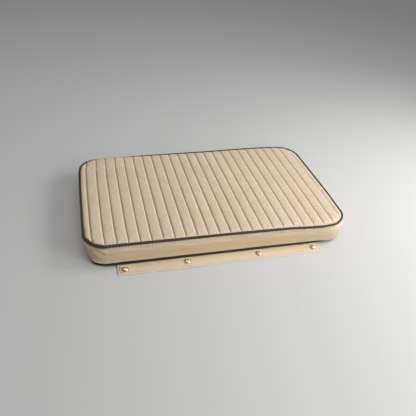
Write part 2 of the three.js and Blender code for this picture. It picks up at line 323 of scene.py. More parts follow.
# %% Rows and columns of the cover
END_COLUMNS = np.array([9.5, 6, 3.6, 2, 0.9, 0.25, 0])  # past the last channel, from the edge inwards
CHANNEL_COLUMNS = [0, 0.035, 0.085, 0.18, 0.5, 0.82, 0.915, 0.965]  # across one channel, as shares of it
SHOULDER_ROWS = np.array([0, 1.2, 3, 5.5, 9])  # from the edge inwards
MIDDLE_ROWS = 50
MIDDLE_INSET = 13  # from the edge to the first of the middle rows
SEWN_MARGIN = 1  # what lies this near past the last sewn line still belongs to it

strip = HALF_LENGTH - SEAM_INSET - END_COLUMNS
channel_columns = [
    (channel + place) * PITCH - LAST_SEAM
    for channel in range(CHANNELS)
    for place in CHANNEL_COLUMNS
]
columns = np.array([*-strip[::-1], *channel_columns, LAST_SEAM, *strip])
in_channels = (columns + LAST_SEAM) / PITCH
is_sewn = np.abs(in_channels - np.round(in_channels)) < 1e-6
is_sewn &= np.abs(columns) < LAST_SEAM + SEWN_MARGIN


def rows_at(x):
    """The y of each row of points in the column at x."""
    into_corner = max(abs(x) - (HALF_LENGTH - CORNER_RADIUS), 0)
    radius = CORNER_RADIUS - SEAM_INSET
    edge = HALF_DEPTH - SEAM_INSET - (radius - math.sqrt(max(radius**2 - into_corner**2, 0)))
    shoulder = edge - SHOULDER_ROWS
    middle = np.linspace(-1, 1, MIDDLE_ROWS) * (edge - MIDDLE_INSET)
    return np.array([*-shoulder, *middle, *shoulder[::-1]])


face_y = np.array([rows_at(x) for x in columns])
face_x = np.repeat(columns[:, None], face_y.shape[1], axis=1)
print("face:", face_x.shape[0], "columns by", face_x.shape[1], "rows, sewn lines:", int(is_sewn.sum()))

# %% [markdown]
# The height of the face has three parts: a round shoulder up from the seam, a slight crown over the
# foam, and a groove at each sewn line. Firm foam under vinyl stays flat nearly to the thread and then
# falls off steeply, so the groove's depth dies away with the distance from its thread.

# %% Height of the face
GROOVE_REACH = 1.15  # from the thread to where a groove is down to a third of its depth
THREAD_BITE = 0.5  # how much deeper the thread pulls the vinyl right under it


def from_thread(x):
    """How far points are from the nearest sewn line."""
    nearest = np.clip(np.round((x + LAST_SEAM) / PITCH), 0, CHANNELS) * PITCH - LAST_SEAM
    return np.abs(x - nearest)


def inside_seam(x, y):
    """How far points lie inside the top seam."""
    along_x = np.abs(x) - (HALF_LENGTH - CORNER_RADIUS)
    along_y = np.abs(y) - (HALF_DEPTH - CORNER_RADIUS)
    corner = np.hypot(np.maximum(along_x, 0), np.maximum(along_y, 0))
    return CORNER_RADIUS - SEAM_INSET - corner - np.minimum(np.maximum(along_x, along_y), 0)


def face_height(x, y):
    """The height of the even face."""
    inward = np.clip(inside_seam(x, y) / SHOULDER_WIDTH, 0, 1)
    shoulder = np.sqrt(1 - (1 - inward) ** 2)
    crown = CROWN * (1 - (x / HALF_LENGTH) ** 2) * (1 - (y / HALF_DEPTH) ** 2)
    from_edge = 1 - smooth_step(HALF_DEPTH - np.abs(y), 0, PUFF_REACH)
    puff = np.where(y < 0, read(FRONT_EDGE, "puff", x), read(BACK_EDGE, "puff", x)) * from_edge
    groove = (GROOVE_DEPTH + THREAD_BITE) * np.exp(-from_thread(x) / GROOVE_REACH)
    return TOP_SEAM + shoulder * (SHOULDER_RISE + crown + puff - groove)


middle_height = face_height(np.zeros(1), np.zeros(1))[0]
seam_height = face_height(np.array([PITCH / 2]), np.zeros(1))[0]
print("middle of the face:", round(middle_height, 1), "mm, at a thread:", round(seam_height, 1), "mm")

# %% [markdown]
# Below the face, rings of points run down the band, over the bottom seam and in under the cushion. Each
# ring is one row of this section, with its height and how far it stands out from the middle of the
# piping. The cloth folds out sharply under the top piping, falls nearly straight, and at its foot
# spreads over the bottom piping, because the weight of the cushion presses it down there.

# %% The section of the band
SECTION = [
    {"height": 50.2, "out": -2.6, "full": 0, "foot": 0, "drop": 0},
    {"height": 48.8, "out": -2.5, "full": 0, "foot": 0, "drop": 0},
    {"height": 47.8, "out": -1.7, "full": 0.1, "foot": 0, "drop": 0},
    {"height": 46.6, "out": -0.5, "full": 0.25, "foot": 0, "drop": 0},
    {"height": 44.6, "out": 0.3, "full": 0.48, "foot": 0, "drop": 0},
    {"height": 41.6, "out": 0.6, "full": 0.75, "foot": 0.05, "drop": 0},
    {"height": 38.2, "out": 0.8, "full": 0.9, "foot": 0.1, "drop": 0},
    {"height": 34.8, "out": 0.9, "full": 0.97, "foot": 0.2, "drop": 0},
    {"height": 31.4, "out": 0.9, "full": 1, "foot": 0.28, "drop": 0},
    {"height": 28, "out": 0.8, "full": 1, "foot": 0.4, "drop": 0},
    {"height": 24.4, "out": 0.7, "full": 0.97, "foot": 0.55, "drop": 0.05},
    {"height": 20.8, "out": 0.5, "full": 0.9, "foot": 0.72, "drop": 0.15},
    {"height": 17, "out": 0.4, "full": 0.8, "foot": 0.9, "drop": 0.3},
    {"height": 13.4, "out": 0.7, "full": 0.6, "foot": 1, "drop": 0.6},
    {"height": 10.6, "out": 1.5, "full": 0.4, "foot": 1, "drop": 0.9},
    {"height": 8.6, "out": 2.3, "full": 0.3, "foot": 1, "drop": 1},
    {"height": 7.7, "out": 2, "full": 0.2, "foot": 0.9, "drop": 1.05},
    {"height": 8.1, "out": -0.2, "full": 0.1, "foot": 0.4, "drop": 0.2},
    {"height": 7.6, "out": -1.9, "full": 0, "foot": 0.1, "drop": 0},
    {"height": BOTTOM_SEAM, "out": -3.4, "full": 0, "foot": 0, "drop": 0},
    {"height": 2.2, "out": -4.4, "full": 0, "foot": 0, "drop": 0},
    {"height": 0.4, "out": -8, "full": 0, "foot": 0, "drop": 0},
    {"height": 0, "out": -14, "full": 0, "foot": 0, "drop": 0},
]
print("rings down the band and under it:", len(SECTION))

# %% [markdown]
# The face is a grid of points, and the rows of the section are rings round it. Each ring starts from
# the border of the grid, stands out from it by its own measure, and is joined to the ring above it.
# Then every point is carried to where it lies on the settled cushion. Its even place stays with it as
# an attribute, because how far it is from a thread or a seam is easiest to say there.

# %% The cover as one mesh


def outward(x, y):
    """The direction straight out of the rounded outline, as rows of x, y."""
    along_x = np.maximum(np.abs(x) - (HALF_LENGTH - CORNER_RADIUS), 0) * np.sign(x)
    along_y = np.maximum(np.abs(y) - (HALF_DEPTH - CORNER_RADIUS), 0) * np.sign(y)
    return np.stack([along_x, along_y], axis=-1) / np.hypot(along_x, along_y)[:, None]


last_column, last_row = face_x.shape[0] - 1, face_x.shape[1] - 1
border = (
    [(i, 0) for i in range(last_column)]
    + [(last_column, j) for j in range(last_row)]
    + [(i, last_row) for i in range(last_column, 0, -1)]
    + [(0, j) for j in range(last_row, 0, -1)]
)
border_i, border_j = np.array(border).T
border_x, border_y = face_x[border_i, border_j], face_y[border_i, border_j]
way_out = outward(border_x, border_y)

even = [np.stack([face_x.ravel(), face_y.ravel(), face_height(face_x, face_y).ravel()], axis=-1)]
for row in SECTION:
    height = np.full(len(border), float(row["height"]))
    front = near_front(border_y)
    out = row["out"] + SEAM_INSET + row["full"] * read(FRONT_EDGE, "fuller", border_x) * front
    out = out + row["foot"] * read(FRONT_FOOT, "spread", border_x) * front
    out = out - rolled(border_x, border_y, height)
    height = height - row["drop"] * read(FRONT_FOOT, "drop", border_x) * front
    even.append(np.column_stack([border_x + way_out[:, 0] * out, border_y + way_out[:, 1] * out, height]))
even = np.concatenate(even)

rows = last_row + 1
faces = [
    (i * rows + j, (i + 1) * rows + j, (i + 1) * rows + j + 1, i * rows + j + 1)
    for i in range(last_column)
    for j in range(last_row)
]
above = border_i * rows + border_j
for ring in range(len(SECTION)):
    below = face_x.size + ring * len(border) + np.arange(len(border))
    for k in range(len(border)):
        after = (k + 1) % len(border)
        faces.append((above[k], below[k], below[after], above[after]))
    above = below

cushion = mesh_piece("padded_cover", settle(*even.T), faces)
cushion.data.attributes.new("even", "FLOAT_VECTOR", "POINT").data.foreach_set("vector", even.ravel())
print("cover before it is filled:", len(even), "points")

# %% [markdown]
# ## Filling the cover
# Vinyl over foam is tight but not hard: it swells between its seams, and the swelling is what catches
# the light. Blender's cloth simulation does this. The sewn lines, both seams and the underside are
# pinned, the rest is pushed out by air pressure with gravity off, and the cloth is cut a hair too
# large, so that it puckers a little. A cap on how far each point may go keeps the channels flat.

# %% Pin the seams and blow the cover up
PRESSURE = 3
EASE = 0.002  # the cloth is this share larger than the form it starts on
LAST_FRAME = 20
MOST_SWELL = 0.7  # mm, because firm foam holds the vinyl nearly flat
PINNED_ABOVE = 48  # the height from which the top seam holds the band
PINNED_BELOW = 9  # the height below which the foot and the underside are held


def swell(piece, pinned):
    """Simulates a piece as cloth under pressure, held at the pinned points, and keeps the result."""
    group = piece.vertex_groups.new(name="sewn")
    group.add(np.flatnonzero(pinned).tolist(), 1, "REPLACE")
    cloth = piece.modifiers.new("cloth", "CLOTH").settings
    cloth.vertex_group_mass = group.name
    cloth.quality = 5
    cloth.mass = 0.3
    cloth.tension_stiffness = 40
    cloth.compression_stiffness = 30
    cloth.shear_stiffness = 10
    cloth.bending_stiffness = 0.3
    cloth.use_pressure = True
    cloth.uniform_pressure_force = PRESSURE
    cloth.shrink_min = -EASE
    cloth.effector_weights.gravity = 0
    start = points_of(piece)
    for frame_number in range(1, LAST_FRAME + 1):
        bpy.context.scene.frame_set(frame_number)
    keep_result(piece)
    bpy.context.scene.frame_set(1)
    move = points_of(piece) - start
    far = np.linalg.norm(move, axis=1, keepdims=True)
    capped = MOST_SWELL * np.tanh(far / MOST_SWELL)
    set_points(piece, start + move * capped / np.maximum(far, 1e-9))
    print("swelled by", round(float(far.mean()), 2), "mm on average,", round(float(far.max()), 2), "at most")


face_pinned = np.zeros(face_x.shape, bool)
face_pinned[is_sewn] = True
face_pinned[[0, -1]] = True
face_pinned[:, [0, -1]] = True
ring_pinned = [row["height"] > PINNED_ABOVE or row["height"] < PINNED_BELOW for row in SECTION]
pinned = np.concatenate([face_pinned.ravel(), np.repeat(ring_pinned, len(border))])
print("pinned:", int(pinned.sum()), "of", len(even), "points")
swell(cushion, pinned)

# %% [markdown]
# One subdivision rounds the cells of the cover off. The underside is closed after it with one flat face,
# because a subdivision spends minutes on a face of a thousand corners.

# %% Subdivide, then close the underside
cushion.modifiers.new("finer", "SUBSURF").levels = 1
cushion.modifiers["finer"].render_levels = 1
keep_result(cushion)


def close_holes(piece):
    """Closes what is open in a piece with one face for each hole."""
    shape = bmesh.new()
    shape.from_mesh(piece.data)
    rim = [edge for edge in shape.edges if edge.is_boundary]
    made = bmesh.ops.holes_fill(shape, edges=rim, sides=0)["faces"]
    bmesh.ops.recalc_face_normals(shape, faces=shape.faces)
    shape.to_mesh(piece.data)
    shape.free()
    return len(made)


print("holes closed:", close_holes(cushion))
cushion.data.shade_smooth()
print("cover:", len(cushion.data.vertices), "points")

# %% [markdown]
# The finer things are given one by one, because no cloth of this size would find them: soft troughs and
# ridges along the band, short puckers where the flat cloth has to turn a corner, and a gather at every
# stitch under the piping. A place on the band is given by how far round it is from the middle of the
# front, to the right positive, and by its height.

# %% Creases of the band
CREASES = [
    {"at": -275, "height": 41.5, "long": 14, "wide": 1.9, "tilt": -20, "deep": -2.6},
    {"at": -281, "height": 35.5, "long": 13, "wide": 1.9, "tilt": -20, "deep": 2.4},
    {"at": -293, "height": 32, "long": 13, "wide": 1.9, "tilt": -32, "deep": -2.6},
    {"at": -299, "height": 25.5, "long": 12, "wide": 2, "tilt": -16, "deep": 2.3},
    {"at": -303, "height": 41, "long": 9, "wide": 2, "tilt": -40, "deep": 1.5},
    {"at": -292, "height": 13, "long": 2.6, "wide": 2.4, "tilt": 0, "deep": -2.2},
    {"at": -301, "height": 14, "long": 3, "wide": 3, "tilt": 0, "deep": 2},
    {"at": -268, "height": 29, "long": 16, "wide": 2.4, "tilt": -8, "deep": 1},
    {"at": -275, "height": 22, "long": 18, "wide": 2.2, "tilt": -4, "deep": -0.9},
    {"at": -282, "height": 11.5, "long": 14, "wide": 1.8, "tilt": -6, "deep": 1},
    {"at": -131, "height": 42, "long": 36, "wide": 1.8, "tilt": -4, "deep": -0.6},
    {"at": -140, "height": 38, "long": 34, "wide": 2, "tilt": -4, "deep": 0.8},
    {"at": -205, "height": 40, "long": 20, "wide": 2, "tilt": 3, "deep": 0.5},
    {"at": -85, "height": 14, "long": 7, "wide": 2.2, "tilt": 0, "deep": 1.3},
    {"at": -86, "height": 31, "long": 10, "wide": 2.6, "tilt": 0, "deep": -0.8},
    {"at": -40, "height": 27, "long": 50, "wide": 3.4, "tilt": 0, "deep": 0.6},
    {"at": 42, "height": 39, "long": 6, "wide": 2, "tilt": 0, "deep": 0.7},
    {"at": 75, "height": 42, "long": 22, "wide": 1.8, "tilt": 3, "deep": -0.7},
    {"at": 78, "height": 38, "long": 22, "wide": 2, "tilt": 3, "deep": 0.9},
    {"at": 85, "height": 14, "long": 6, "wide": 2, "tilt": 0, "deep": 1.1},
    {"at": 124, "height": 30, "long": 18, "wide": 2.6, "tilt": 2, "deep": 0.8},
    {"at": 238, "height": 31, "long": 22, "wide": 2.6, "tilt": -8, "deep": 1.2},
    {"at": 266, "height": 36, "long": 9, "wide": 1.9, "tilt": 3, "deep": 0.9},
    {"at": 242, "height": 12.5, "long": 22, "wide": 2, "tilt": 0, "deep": 0.6},
    {"at": 284, "height": 29, "long": 6, "wide": 1.6, "tilt": 50, "deep": 0.9},
    {"at": 277, "height": 24, "long": 6, "wide": 1.6, "tilt": 50, "deep": 0.9},
    {"at": 271, "height": 18, "long": 6, "wide": 1.6, "tilt": 50, "deep": 0.9},
    {"at": 372, "height": 33, "long": 30, "wide": 3, "tilt": 4, "deep": 0.9},
    {"at": 425, "height": 22, "long": 40, "wide": 3.5, "tilt": -3, "deep": 0.8},
    {"at": 512, "height": 34, "long": 20, "wide": 2.6, "tilt": 6, "deep": 1.2},
    {"at": -372, "height": 24, "long": 36, "wide": 3, "tilt": -4, "deep": 0.9},
    {"at": -440, "height": 35, "long": 34, "wide": 3, "tilt": 3, "deep": 0.8},
    {"at": -516, "height": 27, "long": 18, "wide": 2.6, "tilt": 10, "deep": 1.2},
    {"at": -640, "height": 33, "long": 40, "wide": 3, "tilt": -3, "deep": 0.8},
    {"at": -760, "height": 22, "long": 34, "wide": 3.4, "tilt": 2, "deep": 0.9},
    {"at": 720, "height": 30, "long": 46, "wide": 3.2, "tilt": 3, "deep": 0.8},
    {"at": 600, "height": 21, "long": 30, "wide": 3, "tilt": -4, "deep": 0.9},
]
print("creases:", len(CREASES))

# %% [markdown]
# A crease dies away smoothly along its length and across its width, so that neighbours melt into each
# other. It moves each point of the band in or out along its own normal. The gathers are a wave round
# the cushion, just under the top seam, as long as the stitches that make them.

# %% Press the creases into the band
GATHER_PITCH = 5.2  # one gather for each stitch under the piping
GATHER_DEPTH = 0.6
GATHER_HEIGHT = 46  # where the gathers are deepest
GATHER_REACH = 2.2
CREASED_FROM = (8.5, 11)  # the heights between which the creases set in above the foot
CREASED_TO = (47.5, 49)  # the heights between which they end below the top seam


def around(x, y):
    """How far round the outline points are, from the middle of the front, to the right positive."""
    straight_x, straight_y = HALF_LENGTH - CORNER_RADIUS, HALF_DEPTH - CORNER_RADIUS
    quarter = CORNER_RADIUS * math.pi / 2
    turned = np.arctan2(np.maximum(np.abs(x) - straight_x, 0), np.maximum(np.abs(y) - straight_y, 1e-6))
    front = np.minimum(np.abs(x), straight_x) + CORNER_RADIUS * turned
    side = straight_x + quarter + y + straight_y
    back = 2 * (straight_x + straight_y + quarter) - front
    return np.sign(x) * np.where(y < -straight_y, front, np.where(y > straight_y, back, side))


def crease_depth(place, height):
    """How far in the creases and gathers of the band bring points."""
    under_seam = np.exp(-(((height - GATHER_HEIGHT) / GATHER_REACH) ** 2))
    depth = GATHER_DEPTH * np.cos(2 * math.pi * place / GATHER_PITCH) * under_seam
    for crease in CREASES:
        tilt = math.radians(crease["tilt"])
        from_left, from_below = place - crease["at"], height - crease["height"]
        along = from_left * math.cos(tilt) + from_below * math.sin(tilt)
        across = from_below * math.cos(tilt) - from_left * math.sin(tilt)
        near = np.exp(-((along / crease["long"]) ** 4) - (across / crease["wide"]) ** 2)
        depth = depth + crease["deep"] * near
    return depth


flat = np.empty(len(cushion.data.vertices) * 3)
cushion.data.attributes["even"].data.foreach_get("vector", flat)
even = flat.reshape(-1, 3)
normals = np.empty(len(even) * 3, np.float32)
cushion.data.vertices.foreach_get("normal", normals)
on_band = smooth_step(even[:, 2], *CREASED_FROM) * (1 - smooth_step(even[:, 2], *CREASED_TO))
moved_in = (on_band * crease_depth(around(even[:, 0], even[:, 1]), even[:, 2]))[:, None]
set_points(cushion, points_of(cushion) - moved_in * normals.reshape(-1, 3))
print("deepest crease:", round(float(moved_in.max()), 2), "mm")

# %% [markdown]
# Each point is also told how it lies, as named numbers that the material reads. The crease along a
# thread is painted darker, with some dirt and painted shade for the shadow in the groove, and that shade
# is weaker to the right, where the light is stronger. Left of each thread, where the channel's edge stands
# highest and faces the light, a painted highlight is laid. The lower band gets warm painted shade, less of
# it at the right of the front, where the light is stronger. The face keeps its grain as it was embossed,
# and on the band it is drawn out along the length.

# %% Tell the material where the threads are
THREAD_SHADE = 0.8  # from a thread to where its shade has faded
LESS_SHADE_RIGHT = 0.75  # how much weaker the painted shade and dirt in the threads are at the right end, where the light is stronger
LESS_SHADE_ALONG = (-60, 220)  # where the threads' painted shade begins to weaken, and where it is weakest
LIT_EDGE_FROM_THREAD = 2.3  # to the left of a thread, where the channel's edge stands highest and faces the light, and the painted highlight lies
LIT_EDGE_WIDTH = 1.1
LIT_EDGE_FADE = 4  # how far past the last channel the painted highlight fades
FACE_FROM = 1.5  # how far above the top seam the face has begun
PALER_RIGHT = 0.55  # how much less warm painted shade the band gets at the right of the front, where the light is stronger
PALER_ALONG = (130, 280)
# How strongly the band is painted with warm shade at each height above the surface.
BAND_SHADE = [
    {"at": 7, "tone": 0.9},
    {"at": 10, "tone": 0.7},
    {"at": 15, "tone": 1},
    {"at": 30, "tone": 0.75},
    {"at": 40, "tone": 0.15},
    {"at": 48, "tone": 0},
]


def tell(piece, name, values):
    """Stores a number, or a vector, at each point of a piece for its material."""
    values = np.asarray(values, np.float32)
    kind, slot = ("FLOAT_VECTOR", "vector") if values.ndim == 2 else ("FLOAT", "value")
    piece.data.attributes.new(name, kind, "POINT").data.foreach_set(slot, values.ravel())


on_face = smooth_step(even[:, 2], TOP_SEAM, TOP_SEAM + FACE_FROM)
painted_shade = 1 - LESS_SHADE_RIGHT * smooth_step(even[:, 0], *LESS_SHADE_ALONG)
left_of_thread = (even[:, 0] + LAST_SEAM + PITCH / 2) % PITCH - PITCH / 2 + LIT_EDGE_FROM_THREAD
on_channels = smooth_step(LAST_SEAM + SEWN_MARGIN - np.abs(even[:, 0]), -LIT_EDGE_FADE, 0)
paler_right = 1 - PALER_RIGHT * smooth_step(even[:, 0] * near_front(even[:, 1]), *PALER_ALONG)
# Painted light that the points carry: shade with some dirt in the threads' creases, weaker to the right; a
# painted highlight on the lit edge left of each thread; warm painted shade low on the band.
tell(cushion, "crease", on_face * painted_shade * np.exp(-((from_thread(even[:, 0]) / THREAD_SHADE) ** 2)))
tell(cushion, "lit_edge", on_face * on_channels * np.exp(-((left_of_thread / LIT_EDGE_WIDTH) ** 2)))
tell(cushion, "low", read(BAND_SHADE, "tone", even[:, 2]) * paler_right)
tell(cushion, "grain", on_face)
tell(cushion, "drawn", even[:, [0, 2, 1]] * MM)
cushion.data.attributes.remove(cushion.data.attributes["even"])
print("what the cover's points carry:", cushion.data.attributes.keys())

# %% [markdown]
# ## Marine vinyl
# Every material of this lesson starts from an empty one. Its colours are then laid over one another like
# thin coats of paint, each as strongly as a number between 0 and 1 says. That number may be the same
# everywhere, come from a texture, or be one that the points carry.

# %% Helpers for materials


def new_material(name):
    """An empty material with its tree and its shader."""
    material = bpy.data.materials.new(name)
    material.use_nodes = True
    return material, material.node_tree, material.node_tree.nodes["Principled BSDF"]


def paint(tree, shader, ground, coats):
    """Gives the shader its colour: a ground, and coats of colour over it, each with how much it covers."""
    colour = linear(ground)
    for cover, coat in coats:
        mixed = add(tree, "ShaderNodeMix", {"data_type": "RGBA"}, {0: cover, 6: colour, 7: linear(coat)})
        colour = mixed.outputs[2]
    tree.links.new(colour, shader.inputs["Base Color"])

# %% [markdown]
# Marine vinyl is PVC on a knitted backing, embossed with a fine leather grain. To the eye it is a soft
# satin: matter than plastic, glossier than cloth, with a broad highlight. The grain is pebbles of about
# a millimetre in slanting rows, which this picture can't show, so a coarser one is drawn that it can.
# The band and the flap were pulled lengthwise as they were sewn, which draws their grain into streaks.

# %% The grain of the vinyl
GRAIN_WIDE = 3 * MM  # real pebbles are about 1 mm wide; they are drawn larger, so that they show
GRAIN_LONG = 7.5 * MM
GRAIN_TURN = math.radians(55)  # the roll of cloth was laid at this angle to the channels
HATCH_PITCH = 4.8 * MM  # between the rows of pebbles
HATCH_SHARE = 0.28  # how much the rows count beside the pebbles
WAVE_PERIOD = math.pi / 10  # a wave texture of scale 1 repeats at this distance
STREAK_LONG = 50 * MM
STREAK_WIDE = 4.5 * MM


def vinyl_grain(tree, place, told):
    """The height of the grain: pebbles in rows on the face, and streaks on the band and the flap."""
    turn = {"Vector": place, "Rotation": (0, 0, GRAIN_TURN), "Scale": (GRAIN_LONG, GRAIN_WIDE, GRAIN_WIDE)}
    turned = add(tree, "ShaderNodeMapping", {"vector_type": "TEXTURE"}, turn)
    pebbles = add(tree, "ShaderNodeTexNoise", None, {"Vector": turned, "Scale": 1.0, "Detail": 1.0})
    pitch = WAVE_PERIOD * GRAIN_WIDE / HATCH_PITCH
    rows = {"Vector": turned, "Scale": pitch, "Distortion": 6.0, "Detail": 1.0}
    hatch = add(tree, "ShaderNodeTexWave", {"bands_direction": "Y"}, rows).outputs["Fac"]
    mixture = {0: hatch, 1: HATCH_SHARE, 2: pebbles}
    pebbled = add(tree, "ShaderNodeMath", {"operation": "MULTIPLY_ADD"}, mixture)
    stretch = {"Vector": told["drawn"]["Vector"], "Scale": (STREAK_LONG, STREAK_WIDE, STREAK_LONG)}
    drawn = add(tree, "ShaderNodeMapping", {"vector_type": "TEXTURE"}, stretch)
    streaks = add(tree, "ShaderNodeTexNoise", None, {"Vector": drawn, "Scale": 1.0, "Detail": 2.0})
    streaked = add(tree, "ShaderNodeMath", {"operation": "ADD"}, {0: streaks, 1: HATCH_SHARE / 2})
    return add(tree, "ShaderNodeMix", None, {0: told["grain"]["Fac"], 2: streaked, 3: pebbled})


print("grain drawn", round(GRAIN_WIDE / MM, 1), "mm wide")

# %% [markdown]
# The cream is not one colour. It is softly mottled, and its grain holds dirt in the valleys. Painted light
# lies over it: warm painted shade on the lower band and beside the flap's seam, painted shade with some dirt
# in the threads' creases, and the flap painted lighter towards the right, where the light is stronger.
# Beside each thread the vinyl puckers, and the puckers stand up and carry a painted highlight.

# %% Material of the cover and the flap
CREAM = "e0cfb9"
CREAM_SHADE = "d3c0a6"
GRAIN_DIRT = "bfa882"
# The next four colours are painted light: a lighter cream for the flap's right part, a warm tan for painted
# shade, a pale cream for a painted highlight, and a brown for the threads' creases, painted shade with some
# dirt.
LIT_CREAM = "e1ceb5"
WARM_SHADE_TAN = "d0b996"
HIGHLIGHT_CREAM = "f6ead2"
THREAD_SHADE_AND_DIRT = "8f7448"
MOTTLE = 50 * MM  # from one soft patch to the next
GRAIN_DEPTH = 1.1 * MM
PUCKER_PITCH = 6 * MM  # between the puckers along a thread
# how strongly the puckers are painted as a highlight
PUCKER_HIGHLIGHT = 0.6
PUCKER_RISE = 0.5  # of a pucker, as a share of the grain's depth


def marine_vinyl():
    """Cream PVC on knitted backing: satin, softly mottled, with an embossed leather grain."""
    material, tree, shader = new_material("cream_marine_vinyl")
    place = add(tree, "ShaderNodeTexCoord").outputs["Object"]
    told = {
        name: add(tree, "ShaderNodeAttribute", {"attribute_name": name}).outputs
        for name in ("crease", "lit_edge", "low", "lit_right", "grain", "drawn")
    }
    clouds = add(tree, "ShaderNodeTexNoise", None, {"Vector": place, "Scale": 1 / MOTTLE, "Detail": 3.0})
    patches = {"Value": clouds, "From Min": 0.4, "From Max": 0.7, "To Max": 0.5}
    patchy = add(tree, "ShaderNodeMapRange", None, patches)
    grain = vinyl_grain(tree, place, told)
    valleys = {"Value": grain, "From Min": 0.76, "From Max": 0.5, "To Max": 0.54}
    valley = add(tree, "ShaderNodeMapRange", None, valleys)
    # Puckers along the lit edge: they stand up in the relief and are painted pale, as a highlight.
    beads = add(tree, "ShaderNodeTexNoise", None, {"Vector": place, "Scale": 1 / PUCKER_PITCH, "Detail": 0.0})
    beaded = add(tree, "ShaderNodeMapRange", None, {"Value": beads, "From Min": 0.35, "From Max": 0.6})
    pucker = add(tree, "ShaderNodeMath", {"operation": "MULTIPLY"}, {0: beaded, 1: told["lit_edge"]["Fac"]})
    pale = add(tree, "ShaderNodeMath", {"operation": "MULTIPLY"}, {0: pucker, 1: PUCKER_HIGHLIGHT})
    # After the mottle and the grain's dirt, the coats are painted light: lightening, warm shade, highlight,
    # and the shade and dirt of the threads.
    coats = [
        (patchy, CREAM_SHADE),
        (valley, GRAIN_DIRT),
        (told["lit_right"]["Fac"], LIT_CREAM),
        (told["low"]["Fac"], WARM_SHADE_TAN),
        (pale, HIGHLIGHT_CREAM),
        (told["crease"]["Fac"], THREAD_SHADE_AND_DIRT),
    ]
    paint(tree, shader, CREAM, coats)
    shader.inputs["Roughness"].default_value = 0.5
    shader.inputs["IOR"].default_value = 1.52
    height = add(tree, "ShaderNodeMath", {"operation": "MULTIPLY_ADD"}, {0: pucker, 1: PUCKER_RISE, 2: grain})
    relief = add(tree, "ShaderNodeBump", None, {"Height": height, "Strength": 0.5, "Distance": GRAIN_DEPTH})
    tree.links.new(relief.outputs["Normal"], shader.inputs["Normal"])
    return material


cover_vinyl = marine_vinyl()
cushion.data.materials.clear()
cushion.data.materials.append(cover_vinyl)
print("nodes in the cover's vinyl:", len(cover_vinyl.node_tree.nodes))

# %% [markdown]
# ## Piping
# Piping is a cord in a bias strip of vinyl, sewn into the seam. The vinyl is darker and smoother than
# the cover's. Where the strip is pulled round a corner it gathers into ribs, and it pales between them,
# where it is stretched. The lower ring is painted nearly black: painted shade, for the shadow under the
# foot of the band.

# %% Piping vinyl
DARK_BROWN = "271812"
WORN_BROWN = "3f2a24"
BLACK_BROWN = "200f07"
STRETCHED_BROWN = "7d685b"
WORN_PATCH = 20 * MM  # from one worn place to the next
RIB_PITCH = 6.5 * MM
RIB_PALENESS = 0.25  # how far the vinyl pales where it is stretched between two ribs
WRINKLE_PITCH = 3 * MM
WRINKLE_DEPTH = 0.6 * MM


def piping_vinyl():
    """Dark brown PVC over a cord: smoother than the cover, drawn into fine ribs where it turns."""
    material, tree, shader = new_material("brown_piping_vinyl")
    place = add(tree, "ShaderNodeTexCoord").outputs["Object"]
    along, low, ribs = (
        add(tree, "ShaderNodeAttribute", {"attribute_name": name}).outputs["Fac"]
        for name in ("along", "low", "ribs")
    )
    wear = add(tree, "ShaderNodeTexNoise", None, {"Vector": place, "Scale": 1 / WORN_PATCH, "Detail": 4.0})
    turns = add(tree, "ShaderNodeMath", {"operation": "MULTIPLY"}, {0: along, 1: math.tau / RIB_PITCH})
    wave = add(tree, "ShaderNodeMath", {"operation": "SINE"}, {0: turns})
    between = add(tree, "ShaderNodeMath", {"operation": "MULTIPLY_ADD"}, {0: wave, 1: -0.5, 2: 0.5})
    narrow = add(tree, "ShaderNodeMath", {"operation": "POWER"}, {0: between, 1: 2.0})
    paleness = add(tree, "ShaderNodeMath", {"operation": "MULTIPLY"}, {0: ribs, 1: RIB_PALENESS})
    stretched = add(tree, "ShaderNodeMath", {"operation": "MULTIPLY"}, {0: narrow, 1: paleness})
    # The black brown is painted shade on the lower ring, as strong as its low number says.
    paint(tree, shader, DARK_BROWN, [(wear, WORN_BROWN), (stretched, STRETCHED_BROWN), (low, BLACK_BROWN)])
    shader.inputs["Roughness"].default_value = 0.48
    shader.inputs["Specular IOR Level"].default_value = 0.4
    shader.inputs["IOR"].default_value = 1.52
    wrinkles = {"W": along, "Scale": 1 / WRINKLE_PITCH, "Detail": 1.0}
    wrinkle = add(tree, "ShaderNodeTexNoise", {"noise_dimensions": "1D"}, wrinkles)
    folds = {"Height": wrinkle, "Strength": 0.5, "Distance": WRINKLE_DEPTH}
    relief = add(tree, "ShaderNodeBump", None, folds)
    tree.links.new(relief.outputs["Normal"], shader.inputs["Normal"])
    return material


dark_vinyl = piping_vinyl()
print("nodes in the piping's vinyl:", len(dark_vinyl.node_tree.nodes))

# %% [markdown]
# A Geometry Nodes tree is a recipe with named inputs, so one recipe serves pieces of several sizes. Each
# tree of this lesson takes a line of points, and ends by making its copies real and giving them a
# material. A modifier knows an input by its identifier, so a new tree hands these out with the names.

# %% Open, close and run a tree


def new_tree(name, inputs):
    """A Geometry Nodes tree with named inputs, its input node, and the identifiers of the inputs."""
    tree = bpy.data.node_groups.new(name, "GeometryNodeTree")
    tree.interface.new_socket("Geometry", in_out="INPUT", socket_type="NodeSocketGeometry")
    tree.interface.new_socket("Geometry", in_out="OUTPUT", socket_type="NodeSocketGeometry")
    sockets = {
        label: tree.interface.new_socket(label, in_out="INPUT", socket_type="NodeSocket" + kind).identifier
        for label, kind in inputs.items()
    }
    return tree, tree.nodes.new("NodeGroupInput").outputs, sockets


def close_tree(tree, geometry, material):
    """Ends a tree with smooth shading, real instances, a material and the output."""
    smooth = add(tree, "GeometryNodeSetShadeSmooth", None, {"Geometry": geometry})
    real = add(tree, "GeometryNodeRealizeInstances", None, {"Geometry": smooth})
    painted = add(tree, "GeometryNodeSetMaterial", None, {"Geometry": real, "Material": material})
    add(tree, "NodeGroupOutput", None, {0: painted})


